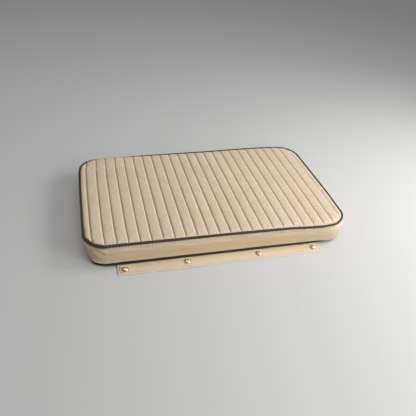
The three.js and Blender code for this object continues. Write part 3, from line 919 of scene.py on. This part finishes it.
def grow(name, lines, tree_and_sockets, values, closed=False, marks=None):
    """Runs a tree on lines of points in millimetres, and keeps what it makes as a plain mesh."""
    tree, sockets = tree_and_sockets
    edges = []
    first = 0
    for line in lines:
        edges += [(first + k, first + k + 1) for k in range(len(line) - 1)]
        if closed:
            edges.append((first + len(line) - 1, first))
        first += len(line)
    mesh = bpy.data.meshes.new(name)
    mesh.from_pydata((np.concatenate(lines) * MM).tolist(), edges, [])
    piece = bpy.data.objects.new(name, mesh)
    bpy.context.scene.collection.objects.link(piece)
    for label, numbers in (marks or {}).items():
        tell(piece, label, numbers)
    modifier = piece.modifiers.new("grown", "NODES")
    modifier.node_group = tree
    for label, value in values.items():
        modifier[sockets[label]] = value
    keep_result(piece)
    print(name + ":", len(piece.data.polygons), "faces")
    return piece

# %% [markdown]
# The piping could be a bevelled curve, but a tree can make the cord a little uneven, as a strip that is
# pulled round corners by hand is. It sweeps a circle along the seam, and how thick the cord is at each
# point adds up from the girth that the point carries, a slow unevenness, and the ribs.

# %% A tree that sweeps piping along a line
UNEVEN_PITCH = 30 * MM  # from one thick place of the cord to the next


def piping_tree():
    """Sweeps a round cord along a line, as thick and as ribbed as the line's points say."""
    numbers = ["Radius", "Step", "Unevenness", "Rib Pitch", "Rib Depth", "Seed"]
    inputs = {**{label: "Float" for label in numbers}, "Sides": "Int", "Material": "Material"}
    tree, given, sockets = new_tree("piping along a seam", inputs)
    line = add(tree, "GeometryNodeMeshToCurve", None, {"Mesh": given["Geometry"]})
    step = {"Curve": line, "Length": given["Step"]}
    even_line = add(tree, "GeometryNodeResampleCurve", {"mode": "LENGTH"}, step)
    distance = add(tree, "GeometryNodeSplineParameter").outputs["Length"]
    mark = {"Geometry": even_line, "Name": "along", "Value": distance}
    marked = add(tree, "GeometryNodeStoreNamedAttribute", {"data_type": "FLOAT", "domain": "POINT"}, mark)
    girth, ribs = (
        add(tree, "GeometryNodeInputNamedAttribute", {"data_type": "FLOAT"}, {"Name": name})
        for name in ("girth", "ribs")
    )
    swings = {"W": given["Seed"], "Scale": 1 / UNEVEN_PITCH}
    noise = add(tree, "ShaderNodeTexNoise", {"noise_dimensions": "4D"}, swings)
    centred = add(tree, "ShaderNodeMath", {"operation": "MULTIPLY_ADD"}, {0: noise, 1: 4.0, 2: -2.0})
    uneven = add(tree, "ShaderNodeMath", {"operation": "MULTIPLY"}, {0: centred, 1: given["Unevenness"]})
    turns = add(tree, "ShaderNodeMath", {"operation": "DIVIDE"}, {0: distance, 1: given["Rib Pitch"]})
    angle = add(tree, "ShaderNodeMath", {"operation": "MULTIPLY"}, {0: turns, 1: math.tau})
    wave = add(tree, "ShaderNodeMath", {"operation": "SINE"}, {0: angle})
    rib = add(tree, "ShaderNodeMath", {"operation": "MULTIPLY"}, {0: wave, 1: given["Rib Depth"]})
    ribbed = add(tree, "ShaderNodeMath", {"operation": "MULTIPLY"}, {0: rib, 1: ribs})
    smooth_girth = add(tree, "ShaderNodeMath", {"operation": "ADD"}, {0: girth, 1: uneven})
    thickness = add(tree, "ShaderNodeMath", {"operation": "ADD"}, {0: smooth_girth, 1: ribbed})
    circle = {"Resolution": given["Sides"], "Radius": given["Radius"]}
    section = add(tree, "GeometryNodeCurvePrimitiveCircle", None, circle)
    sweep = {"Curve": marked, "Profile Curve": section, "Scale": thickness}
    swept = add(tree, "GeometryNodeCurveToMesh", None, sweep)
    close_tree(tree, swept, given["Material"])
    return tree, sockets


piping = piping_tree()
print("nodes in the piping's tree:", len(piping[0].nodes))

# %% [markdown]
# The line that a ring follows is the rounded outline of the even cushion at the height of the seam. It
# is carried to the settled cushion as the cloth was, so the cord lies in its seam all the way round.

# %% The route of a ring
CORNER_STEPS = 24
SIDE_STEPS = (90, 50)  # along a long side, and along an end


def outline():
    """The even outline at the middle of the piping, as x and y, from the front right corner on."""
    straight_x = HALF_LENGTH - CORNER_RADIUS
    straight_y = HALF_DEPTH - CORNER_RADIUS
    centres = [(i * straight_x, j * straight_y) for i, j in ((1, -1), (1, 1), (-1, 1), (-1, -1))]
    x, y = [], []
    for side, (centre_x, centre_y) in enumerate(centres):
        turn = (side - 1 + np.linspace(0, 1, CORNER_STEPS + 1)) * math.pi / 2
        x += list(centre_x + CORNER_RADIUS * np.cos(turn))
        y += list(centre_y + CORNER_RADIUS * np.sin(turn))
        next_x, next_y = centres[(side + 1) % 4]
        steps = SIDE_STEPS[(side + 1) % 2]
        part = np.arange(1, steps) / steps
        x += list(x[-1] + (next_x - centre_x) * part)
        y += list(y[-1] + (next_y - centre_y) * part)
    return np.array(x), np.array(y)


def piping_route(height):
    """The line that a ring of piping follows on the settled cushion."""
    x, y = outline()
    z = np.full(len(x), float(height))
    way = outward(x, y)
    in_by = rolled(x, y, z)
    return settle(x - way[:, 0] * in_by, y - way[:, 1] * in_by, z)


way_round = around(*outline())
top_route = piping_route(TOP_SEAM)
steps_round = np.linalg.norm(np.roll(top_route, -1, axis=0) - top_route, axis=1)
print("the top piping is", round(float(steps_round.sum())), "mm long")

# %% [markdown]
# A cord is never the same all round: it is fat and ribbed at the front left corner, where the strip was
# pulled tight, and thin where it was stretched. The places are measured round the cushion from the
# middle of the front. The weight of the cushion presses the lower ring smoother than the upper one.

# %% The two rings of piping
CORD_ALONG = [
    {"at": -958, "girth": 1, "low_girth": 1, "ribs": 0.3},
    {"at": -699, "girth": 1, "low_girth": 1, "ribs": 0.4},
    {"at": -621, "girth": 0.9, "low_girth": 1, "ribs": 0.4},
    {"at": -480, "girth": 0.78, "low_girth": 0.9, "ribs": 0.3},
    {"at": -360, "girth": 0.84, "low_girth": 0.7, "ribs": 0.5},
    {"at": -328, "girth": 1.12, "low_girth": 0.65, "ribs": 0.8},
    {"at": -308, "girth": 1.36, "low_girth": 0.68, "ribs": 1},
    {"at": -288, "girth": 1.3, "low_girth": 0.75, "ribs": 1},
    {"at": -240, "girth": 1.08, "low_girth": 0.95, "ribs": 0.9},
    {"at": -170, "girth": 1.05, "low_girth": 1, "ribs": 0.6},
    {"at": -60, "girth": 1, "low_girth": 1, "ribs": 0.3},
    {"at": 220, "girth": 0.95, "low_girth": 0.95, "ribs": 0.3},
    {"at": 262, "girth": 0.8, "low_girth": 0.8, "ribs": 0.1},
    {"at": 298, "girth": 0.75, "low_girth": 0.75, "ribs": 0.1},
    {"at": 350, "girth": 0.85, "low_girth": 0.85, "ribs": 0.2},
    {"at": 480, "girth": 1, "low_girth": 1, "ribs": 0.3},
    {"at": 660, "girth": 1.02, "low_girth": 1, "ribs": 0.4},
    {"at": 958, "girth": 1, "low_girth": 1, "ribs": 0.3},
]
# The lower ring carries painted shade, for the shadow under the foot of the band.
RINGS = [
    {"node": "top_piping", "height": TOP_SEAM, "girth": "girth", "ribbed": 1, "painted_shade": 0},
    {"node": "bottom_piping", "height": BOTTOM_SEAM, "girth": "low_girth", "ribbed": 0.35, "painted_shade": 0.95},
]
cord = {
    "Radius": PIPING_RADIUS * MM,
    "Step": 0.9 * MM,
    "Sides": 12,
    "Unevenness": 0.05,
    "Rib Pitch": RIB_PITCH,
    "Rib Depth": 0.2,
    "Material": dark_vinyl,
}
for seed, row in enumerate(RINGS, start=3):
    node = row["node"]
    ribs = row["ribbed"] * read(CORD_ALONG, "ribs", way_round)
    marks = {"girth": read(CORD_ALONG, row["girth"], way_round), "ribs": ribs}
    values = {**cord, "Seed": float(seed)}
    route = [piping_route(row["height"])]
    ring = grow(node + "_cord", route, piping, values, closed=True, marks=marks)
    tell(ring, "low", np.full(len(ring.data.vertices), row["painted_shade"]))
    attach(ring, "root")
    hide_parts(node)

# %% [markdown]
# ## Flap
# The flap is the same vinyl, turned under at its three free edges and topstitched. It lies on the
# surface, but no cloth lies quite flat: it lifts a little between the snaps, and rises to its seam. At
# each snap it is held down flat, and the cap presses a low ring up round itself.

# %% Sizes of the flap
FLAP_THICKNESS = 1.5
FLAP_LEFT = -243
FLAP_RIGHT = 233
FLAP_CUT = 40  # the width it was cut to, of which the seam takes the last part
FLAP_EDGE = [
    {"at": -243, "y": -227.6},
    {"at": -215, "y": -229.2},
    {"at": -130, "y": -229.9},
    {"at": 75, "y": -227.6},
    {"at": 125, "y": -227.4},
    {"at": 233, "y": -224.6},
]
SNAPS = [(-226.8, -212.3), (-89.4, -209), (78.2, -210.6), (213.9, -209.3)]
HEM = 5  # from the edge to the topstitching
HEM_RISE = 0.35  # how much higher the flap is where its hem doubles it
HEM_STEP = 2  # from the topstitching to where the hem has ended
EDGE_ROUND = 1.6  # how far in from the edge the hem is rounded, and how far down
EDGE_DROP = 0.5
THREAD_PULL = {"front": 0.15, "left": 0.85, "right": 0.12}  # how firmly the thread pulls each hem in, and how dark the painted shade of its fold is
THREAD_PULL_WIDTH = 1.1
THREAD_PULL_DEPTH = 0.5
END_REACH = (8, 20)  # the distance from an end over which its pull dies away
LOOSE = 0.2  # how far the flap stands off the surface on average, and how high its waves are
WAVE_HEIGHT = 0.6
LONG_WAVES = (33, 71)  # how far along the flap each of the two turns by one radian
SHORT_WAVES = [
    {"height": 0.25, "along": 13, "across": 9},
    {"height": 0.2, "along": 5.7, "across": -14},
]
SNAP_REACH = 11  # how far round a snap the flap is held flat
RING_RADIUS = 10  # of the low ring that a snap presses up round itself
RING_WIDTH = 1.6
RING_RISE = 0.35
SEAM_LIFT = 1  # how far the flap rises to the seam that holds it
SEAM_LIFT_REACH = (4.5, 13)
PIPING_GAP = 0.1  # between the flap and the piping over it
print("flap:", FLAP_RIGHT - FLAP_LEFT, "mm long, with", len(SNAPS), "snaps")

# %% [markdown]
# The height of the flap adds up from these habits of the cloth, each of them one short formula. The
# distance from the free edge steers the hem, the distance from a snap its ring, and the distance from
# the seam the rise.

# %% Height of the flap


def from_free_edge(x, y):
    """How far points of the flap are from its nearest free edge, and from its nearest end."""
    from_end = np.minimum(x - FLAP_LEFT, FLAP_RIGHT - x)
    return np.minimum(y - read(FLAP_EDGE, "y", x), from_end), from_end


def hem_mark(x, y):
    """How near points are to the topstitching, from 0 to 1; along the front it is hardly pulled in. It sets
    the hem's dent and its painted shade.
    """
    from_edge, from_end = from_free_edge(x, y)
    end_pull = np.where(x < 0, THREAD_PULL["left"], THREAD_PULL["right"])
    at_end = (1 - smooth_step(from_end, *END_REACH)) * end_pull
    near_thread = np.exp(-(((from_edge - HEM) / THREAD_PULL_WIDTH) ** 2))
    return near_thread * (THREAD_PULL["front"] + at_end)


def flap_seam(x):
    """The y at which the flap is caught in the bottom seam."""
    seam_y = np.full(np.shape(x), SEAM_INSET - HALF_DEPTH)
    seam_z = np.full(np.shape(x), float(BOTTOM_SEAM))
    return settle(x, seam_y, seam_z)[..., 1]


def waves(x, y):
    """The lift of loosely lying cloth, from about -1 to 1: long waves along it, and two shorter ones."""
    lift = 0.5 * np.sin(x / LONG_WAVES[0] + 1) * np.sin(x / LONG_WAVES[1])
    for wave in SHORT_WAVES:
        lift = lift + wave["height"] * np.sin(x / wave["along"] + y / wave["across"])
    return lift


def flap_top(x, y):
    """The height of the flap's upper side."""
    from_edge = from_free_edge(x, y)[0]
    rim = EDGE_DROP * (1 - np.sqrt(1 - (1 - np.clip(from_edge / EDGE_ROUND, 0, 1)) ** 2))
    doubled = HEM_RISE * (1 - smooth_step(from_edge, HEM, HEM + HEM_STEP))
    height = FLAP_THICKNESS + LOOSE + doubled + WAVE_HEIGHT * waves(x, y) - rim
    height = height - THREAD_PULL_DEPTH * hem_mark(x, y)
    for snap_x, snap_y in SNAPS:
        away = np.hypot(x - snap_x, y - snap_y)
        flat = np.exp(-((away / SNAP_REACH) ** 4))
        height = height * (1 - flat) + FLAP_THICKNESS * flat
        height = height + RING_RISE * np.exp(-(((away - RING_RADIUS) / RING_WIDTH) ** 2))
    from_seam = flap_seam(x) - y
    height = height + SEAM_LIFT * (1 - smooth_step(from_seam, *SEAM_LIFT_REACH))
    under_piping = np.sqrt(np.clip(PIPING_RADIUS**2 - (from_seam - SEAM_INSET) ** 2, 0, None))
    below = np.where(from_seam < SEAM_INSET, PIPING_RADIUS, under_piping)
    return np.minimum(height, BOTTOM_SEAM - below - PIPING_GAP)


snap_x, snap_y = np.array(SNAPS).T
print("height of the flap under its caps:", flap_top(snap_x, snap_y).round(2), "mm")

# %% [markdown]
# The mesh is a grid for the upper side and the same grid pressed flat for the underside, joined round
# the rim. Its rows stand closest at the free edge, where the hem is rounded. The points also carry painted
# light: painted shade beside the stitches, where the hem folds, warm painted shade near the seam, under
# the cushion, and a painted lightening that grows towards the right.

# %% The flap as one mesh
FLAP_COLUMNS = 300
FLAP_ROWS = 22
EDGE_ROWS = [0, 0.4, 1, 1.8]  # from the free edge inwards
FIRST_ROW = 3  # where the even rows begin
SEAM_SHADE = 0.5  # how strongly the flap is painted with warm shade beside its seam, under the cushion
SEAM_SHADE_REACH = (4, 16)
LIT_AT_LEFT = 0.35  # how much of the painted lightening the left end gets; this grows to 1 over the next stretch of x, where the light is stronger
LIT_ALONG = (-200, 0)

share = np.linspace(0, 1, FLAP_COLUMNS + 1)
flap_x = FLAP_LEFT + (FLAP_RIGHT - FLAP_LEFT) * share
seam_y = flap_seam(flap_x)
down = np.concatenate([EDGE_ROWS, np.linspace(FIRST_ROW, FLAP_CUT, FLAP_ROWS)]) / FLAP_CUT
grid_x = np.repeat(flap_x[:, None], len(down), axis=1)
edge_y = read(FLAP_EDGE, "y", flap_x)
grid_y = edge_y[:, None] + (seam_y - edge_y)[:, None] * down
top = np.stack([grid_x, grid_y, flap_top(grid_x, grid_y)], axis=-1).reshape(-1, 3)
under = top * [1, 1, 0]
across = len(down)
count = len(top)
flap_faces = []
for i in range(FLAP_COLUMNS):
    for j in range(across - 1):
        corner = i * across + j
        below = corner + count
        flap_faces.append((corner, corner + across, corner + across + 1, corner + 1))
        flap_faces.append((below, below + 1, below + across + 1, below + across))
rim_line = (
    [i * across for i in range(FLAP_COLUMNS)]
    + [FLAP_COLUMNS * across + j for j in range(across - 1)]
    + [i * across + across - 1 for i in range(FLAP_COLUMNS, 0, -1)]
    + [j for j in range(across - 1, 0, -1)]
)
for k, point in enumerate(rim_line):
    following = rim_line[(k + 1) % len(rim_line)]
    flap_faces.append((point, point + count, following + count, following))
flap = mesh_piece("vinyl_flap", np.concatenate([top, under]), flap_faces, cover_vinyl)
# Painted light on the flap: shade of the hem's fold, warm shade under the cushion, and lightening towards the
# right.
inner_shade = SEAM_SHADE * (1 - smooth_step(seam_y[:, None] - grid_y, *SEAM_SHADE_REACH))
lit_right = LIT_AT_LEFT + (1 - LIT_AT_LEFT) * smooth_step(grid_x, *LIT_ALONG)
tell(flap, "crease", np.tile(hem_mark(grid_x, grid_y).ravel(), 2))
tell(flap, "low", np.tile(inner_shade.ravel(), 2))
tell(flap, "lit_right", np.tile(lit_right.ravel(), 2))
tell(flap, "drawn", np.concatenate([top, under]) * MM)
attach(flap, "root")
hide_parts("snap_flap")
print("flap:", len(flap_faces), "faces")

# %% [markdown]
# ## Snap caps
# A snap cap is pressed from thin brass, plated with nickel and lacquered, so it shines softly. The
# plate is hazed by handling, and its rim is tinted a warmer brown, a painted reflection of the tan band
# behind the cap.

# %% Snap metal
PLATE = "ece4d2"
HANDLED_PLATE = "dccdb2"
RIM_REFLECTION_BROWN = "b8986a"
HANDLING = 3 * MM  # from one touched place to the next


def snap_metal():
    """Nickel on brass under a clear lacquer: a soft mirror with a little warmth."""
    material, tree, shader = new_material("nickel_plated_brass")
    place = add(tree, "ShaderNodeTexCoord").outputs["Object"]
    handling = add(tree, "ShaderNodeTexNoise", None, {"Vector": place, "Scale": 1 / HANDLING, "Detail": 3.0})
    rim = add(tree, "ShaderNodeAttribute", {"attribute_name": "rim"}).outputs["Fac"]
    # The brown at the rim is a painted reflection of the tan band.
    paint(tree, shader, PLATE, [(handling, HANDLED_PLATE), (rim, RIM_REFLECTION_BROWN)])
    shader.inputs["Metallic"].default_value = 1
    shader.inputs["Coat Weight"].default_value = 0.6
    shader.inputs["Coat Roughness"].default_value = 0.12
    hazy = add(tree, "ShaderNodeMapRange", None, {"Value": handling, "To Min": 0.3, "To Max": 0.4})
    tree.links.new(hazy.outputs["Result"], shader.inputs["Roughness"])
    return material


plated = snap_metal()
print("nodes in the snap metal:", len(plated.node_tree.nodes))

# %% [markdown]
# The cap is a shallow dome whose rim is rolled under to grip the cloth. It is a turned shape, so its
# half section is drawn once, as shares of the radius and the height, and spun round the upright axis.

# %% Spin the caps
CAP_RADIUS = 7.5
CAP_HEIGHT = 4.2
CAP_BASE = 1.8  # the height of the underside, just clear of the flap
CAP_STEPS = 48
CAP_RIM = (0.7, 0.95)  # the shares of the radius between which the rim's painted brown reflection sets in
CAP_SECTION = [
    (0, 0),
    (0.88, 0),
    (0.96, 0.03),
    (1, 0.12),
    (0.985, 0.2),
    (0.93, 0.31),
    (0.84, 0.46),
    (0.73, 0.61),
    (0.6, 0.755),
    (0.45, 0.87),
    (0.3, 0.945),
    (0.15, 0.985),
    (0, 1),
]


def spun(section, steps):
    """Points and faces of a section of radius and height, spun round the upright axis."""
    turn = np.linspace(0, 2 * math.pi, steps, endpoint=False)
    points = [(0, 0, section[0][1])]
    for radius, height in section[1:-1]:
        points += [(radius * math.cos(t), radius * math.sin(t), height) for t in turn]
    points.append((0, 0, section[-1][1]))
    faces = []
    for k in range(steps):
        after = (k + 1) % steps
        faces.append((0, 1 + after, 1 + k))
        for ring in range(len(section) - 3):
            lower, upper = 1 + ring * steps, 1 + (ring + 1) * steps
            faces.append((lower + k, lower + after, upper + after, upper + k))
        last = 1 + (len(section) - 3) * steps
        faces.append((last + k, last + after, len(points) - 1))
    return np.array(points), faces


dome, dome_faces = spun(CAP_SECTION, CAP_STEPS)
for number, (snap_x, snap_y) in enumerate(SNAPS, start=1):
    points = dome * [CAP_RADIUS, CAP_RADIUS, CAP_HEIGHT] + [snap_x, snap_y, CAP_BASE]
    cap = mesh_piece("snap_dome_" + str(number), points, dome_faces, plated)
    from_middle = np.hypot(points[:, 0] - snap_x, points[:, 1] - snap_y) / CAP_RADIUS
    tell(cap, "rim", smooth_step(from_middle, *CAP_RIM))
    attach(cap, "root")
    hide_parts("snap_cap_" + str(number))
print("caps:", len(SNAPS), "of", len(dome_faces), "faces each")

# %% [markdown]
# ## Stitches
# A lockstitch shows as a row of short threads, one every few millimetres. The thread is twisted
# polyester: tan on the face, and cream on the hem of the flap. Its plies are too fine to see, but they
# make it a little uneven in tone.

# %% Thread
TAN_THREAD = ("876a40", "a4875a")
CREAM_THREAD = ("bfa27a", "d2b993")
PLY = 0.6 * MM  # from one ply of the thread to the next


def polyester_thread(name, dark, pale):
    """Twisted polyester, a little lighter and darker along its plies."""
    material, tree, shader = new_material(name)
    place = add(tree, "ShaderNodeTexCoord").outputs["Object"]
    plies = add(tree, "ShaderNodeTexNoise", None, {"Vector": place, "Scale": 1 / PLY, "Detail": 2.0})
    paint(tree, shader, dark, [(plies, pale)])
    shader.inputs["Roughness"].default_value = 0.6
    return material


tan_thread = polyester_thread("tan_polyester_thread", *TAN_THREAD)
cream_thread = polyester_thread("cream_polyester_thread", *CREAM_THREAD)
print("threads:", tan_thread.name, "and", cream_thread.name)

# %% [markdown]
# Hundreds of stitches placed by hand would be slow. A tree resamples each sewn line instead, turns one
# small grain of thread to the line at every point, and makes the copies real. The grain has only a few
# dozen faces, because it is repeated so often.

# %% A tree that sews along a line


def stitch_tree():
    """Lays one grain of thread at every step along a line, turned to lie along it."""
    inputs = {"Spacing": "Float", "Length": "Float", "Thickness": "Float", "Material": "Material"}
    tree, given, sockets = new_tree("stitches along a line", inputs)
    line = add(tree, "GeometryNodeMeshToCurve", None, {"Mesh": given["Geometry"]})
    step = {"Curve": line, "Length": given["Spacing"]}
    places = add(tree, "GeometryNodeResampleCurve", {"mode": "LENGTH"}, step)
    tangent = add(tree, "GeometryNodeInputTangent")
    turned = add(tree, "FunctionNodeAlignRotationToVector", {"axis": "X"}, {"Vector": tangent})
    sides = {"X": given["Length"], "Y": given["Thickness"], "Z": given["Thickness"]}
    size = add(tree, "ShaderNodeCombineXYZ", None, sides)
    grain = add(tree, "GeometryNodeMeshUVSphere", None, {"Segments": 6, "Rings": 5, "Radius": 0.5})
    lying = add(tree, "GeometryNodeTransform", None, {"Geometry": grain, "Rotation": (0, math.pi / 2, 0)})
    copies = {"Points": places, "Instance": lying, "Rotation": turned, "Scale": size}
    placed = add(tree, "GeometryNodeInstanceOnPoints", None, copies)
    close_tree(tree, placed, given["Material"])
    return tree, sockets


stitching = stitch_tree()
print("nodes in the stitches' tree:", len(stitching[0].nodes))

# %% [markdown]
# The lines come from the same formulas as the cloth, so each stitch lies in the bottom of its groove.
# On the flap one line runs up the left end, along the front and back up the right end.

# %% Sew the face and the flap
STITCH_SPACING = 4
STITCH_LENGTH = 3.2
STITCH_THICKNESS = 0.7
HEM_THREAD_THICKNESS = 0.6
HEM_THREAD_RISE = 0.1  # how far the middle of the thread stands over the flap
HEM_BACK = -197  # the y to which the topstitching runs up the two ends
HEM_FRONT_POINTS = 200
HEM_END_POINTS = 12


def sewn_line(x):
    """The line of one row of stitches across the face, on the settled cushion."""
    y = rows_at(x)[len(SHOULDER_ROWS) - 1 : -len(SHOULDER_ROWS) + 1]
    x = np.full(len(y), x)
    return settle(x, y, face_height(x, y) + STITCH_THICKNESS / 4)


def hem_line():
    """The line of the topstitching round the free edges of the flap."""
    along = np.linspace(FLAP_LEFT + HEM, FLAP_RIGHT - HEM, HEM_FRONT_POINTS)
    front_y = read(FLAP_EDGE, "y", along) + HEM
    left_y = np.linspace(HEM_BACK, front_y[0], HEM_END_POINTS)[:-1]
    right_y = np.linspace(front_y[-1], HEM_BACK, HEM_END_POINTS)[1:]
    left_x = np.full(len(left_y), along[0])
    right_x = np.full(len(right_y), along[-1])
    x = np.concatenate([left_x, along, right_x])
    y = np.concatenate([left_y, front_y, right_y])
    return np.stack([x, y, flap_top(x, y) + HEM_THREAD_RISE], axis=-1)


sewing = {
    "Spacing": STITCH_SPACING * MM,
    "Length": STITCH_LENGTH * MM,
    "Thickness": STITCH_THICKNESS * MM,
    "Material": tan_thread,
}
hemming = {**sewing, "Thickness": HEM_THREAD_THICKNESS * MM, "Material": cream_thread}
face_stitches = grow("channel_stitches", [sewn_line(x) for x in columns[is_sewn]], stitching, sewing)
hem_stitches = grow("hem_stitches", [hem_line()], stitching, hemming)
for stitches in (face_stitches, hem_stitches):
    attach(stitches, "root")

# %% [markdown]
# ## Light and floor
# The light is soft and comes from the right, so that each sewn line has a bright side and a dark one and
# the channels read from across the room. Four soft boxes do this. A faint, wide sky light evens out the
# floor, which the boxes reach less the further away it is, and the world fills the shadows.

# %% Lights
WARM = "fffefc"
WHITE = "ffffff"
LIGHTS = {
    "key_light": {"place": (0.9, -1.0, 0.7), "aim": (0.1, 0, 0), "size": 0.6, "watts": 8.6, "tint": WARM},
    "side_light": {"place": (1.0, -0.1, 0.8), "aim": (0.1, 0, 0), "size": 0.5, "watts": 7.2, "tint": WARM},
    "front_light": {"place": (0.5, -1.7, 0.8), "aim": (0.1, 0, 0), "size": 1.2, "watts": 6, "tint": WARM},
    "top_light": {"place": (-0.2, 0.4, 1.7), "aim": (0, 0, 0), "size": 2.2, "watts": 7.2, "tint": WHITE},
}
SKY_STRENGTH = 0.42  # watts on each square metre
SKY_WIDTH = math.radians(50)
WORLD_GREY = "e6e6e6"
WORLD_STRENGTH = 0.22


def area_light(name, place, aim, size, watts, tint):
    """A square soft box at a place in metres, turned to what it lights."""
    light = bpy.data.lights.new(name, "AREA")
    light.size = size
    light.energy = watts
    light.color = linear(tint)[:3]
    soft_box = bpy.data.objects.new(name, light)
    bpy.context.scene.collection.objects.link(soft_box)
    place = Vector(place)
    facing = (Vector(aim) - place).to_track_quat("-Z", "Y").to_matrix().to_4x4()
    soft_box.matrix_world = Matrix.Translation(place) @ facing


for name, light in LIGHTS.items():
    area_light(name, **light)

sky = bpy.data.lights.new("sky_light", "SUN")
sky.energy = SKY_STRENGTH
sky.angle = SKY_WIDTH
sky_light = bpy.data.objects.new("sky_light", sky)
bpy.context.scene.collection.objects.link(sky_light)

world = bpy.data.worlds.new("studio")
world.use_nodes = True
world.node_tree.nodes["Background"].inputs["Color"].default_value = linear(WORLD_GREY)
world.node_tree.nodes["Background"].inputs["Strength"].default_value = WORLD_STRENGTH
bpy.context.scene.world = world
bpy.context.scene.view_settings.view_transform = "Standard"
print("soft boxes:", len(LIGHTS), "of", sum(light["watts"] for light in LIGHTS.values()), "watts in all")

# %% [markdown]
# The floor is plain and pale, like a sheet of studio paper, and so wide that no view sees its edge. It
# is marked as stage, because it isn't part of the object.

# %% Floor
FLOOR_GREY = "c9c9c9"
FLOOR_REACH = 60000


def studio_paper():
    """Plain matt paper for the floor."""
    material, tree, shader = new_material("pale_floor")
    shader.inputs["Base Color"].default_value = linear(FLOOR_GREY)
    shader.inputs["Roughness"].default_value = 0.8
    return material


corners = [(x * FLOOR_REACH, y * FLOOR_REACH, 0) for x, y in ((-1, -1), (1, -1), (1, 1), (-1, 1))]
floor = mesh_piece("studio_floor", corners, [(0, 1, 2, 3)], studio_paper())
floor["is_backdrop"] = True
print("floor:", 2 * FLOOR_REACH * MM, "m wide")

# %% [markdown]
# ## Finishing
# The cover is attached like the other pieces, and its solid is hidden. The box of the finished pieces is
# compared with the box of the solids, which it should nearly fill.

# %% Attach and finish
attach(cushion, "root")
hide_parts("cushion_pad")

final_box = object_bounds()
change = [[round((a - b) / MM, 1) for a, b in zip(*pair)] for pair in zip(final_box, packed_box)]
print("size change, mm:", change)
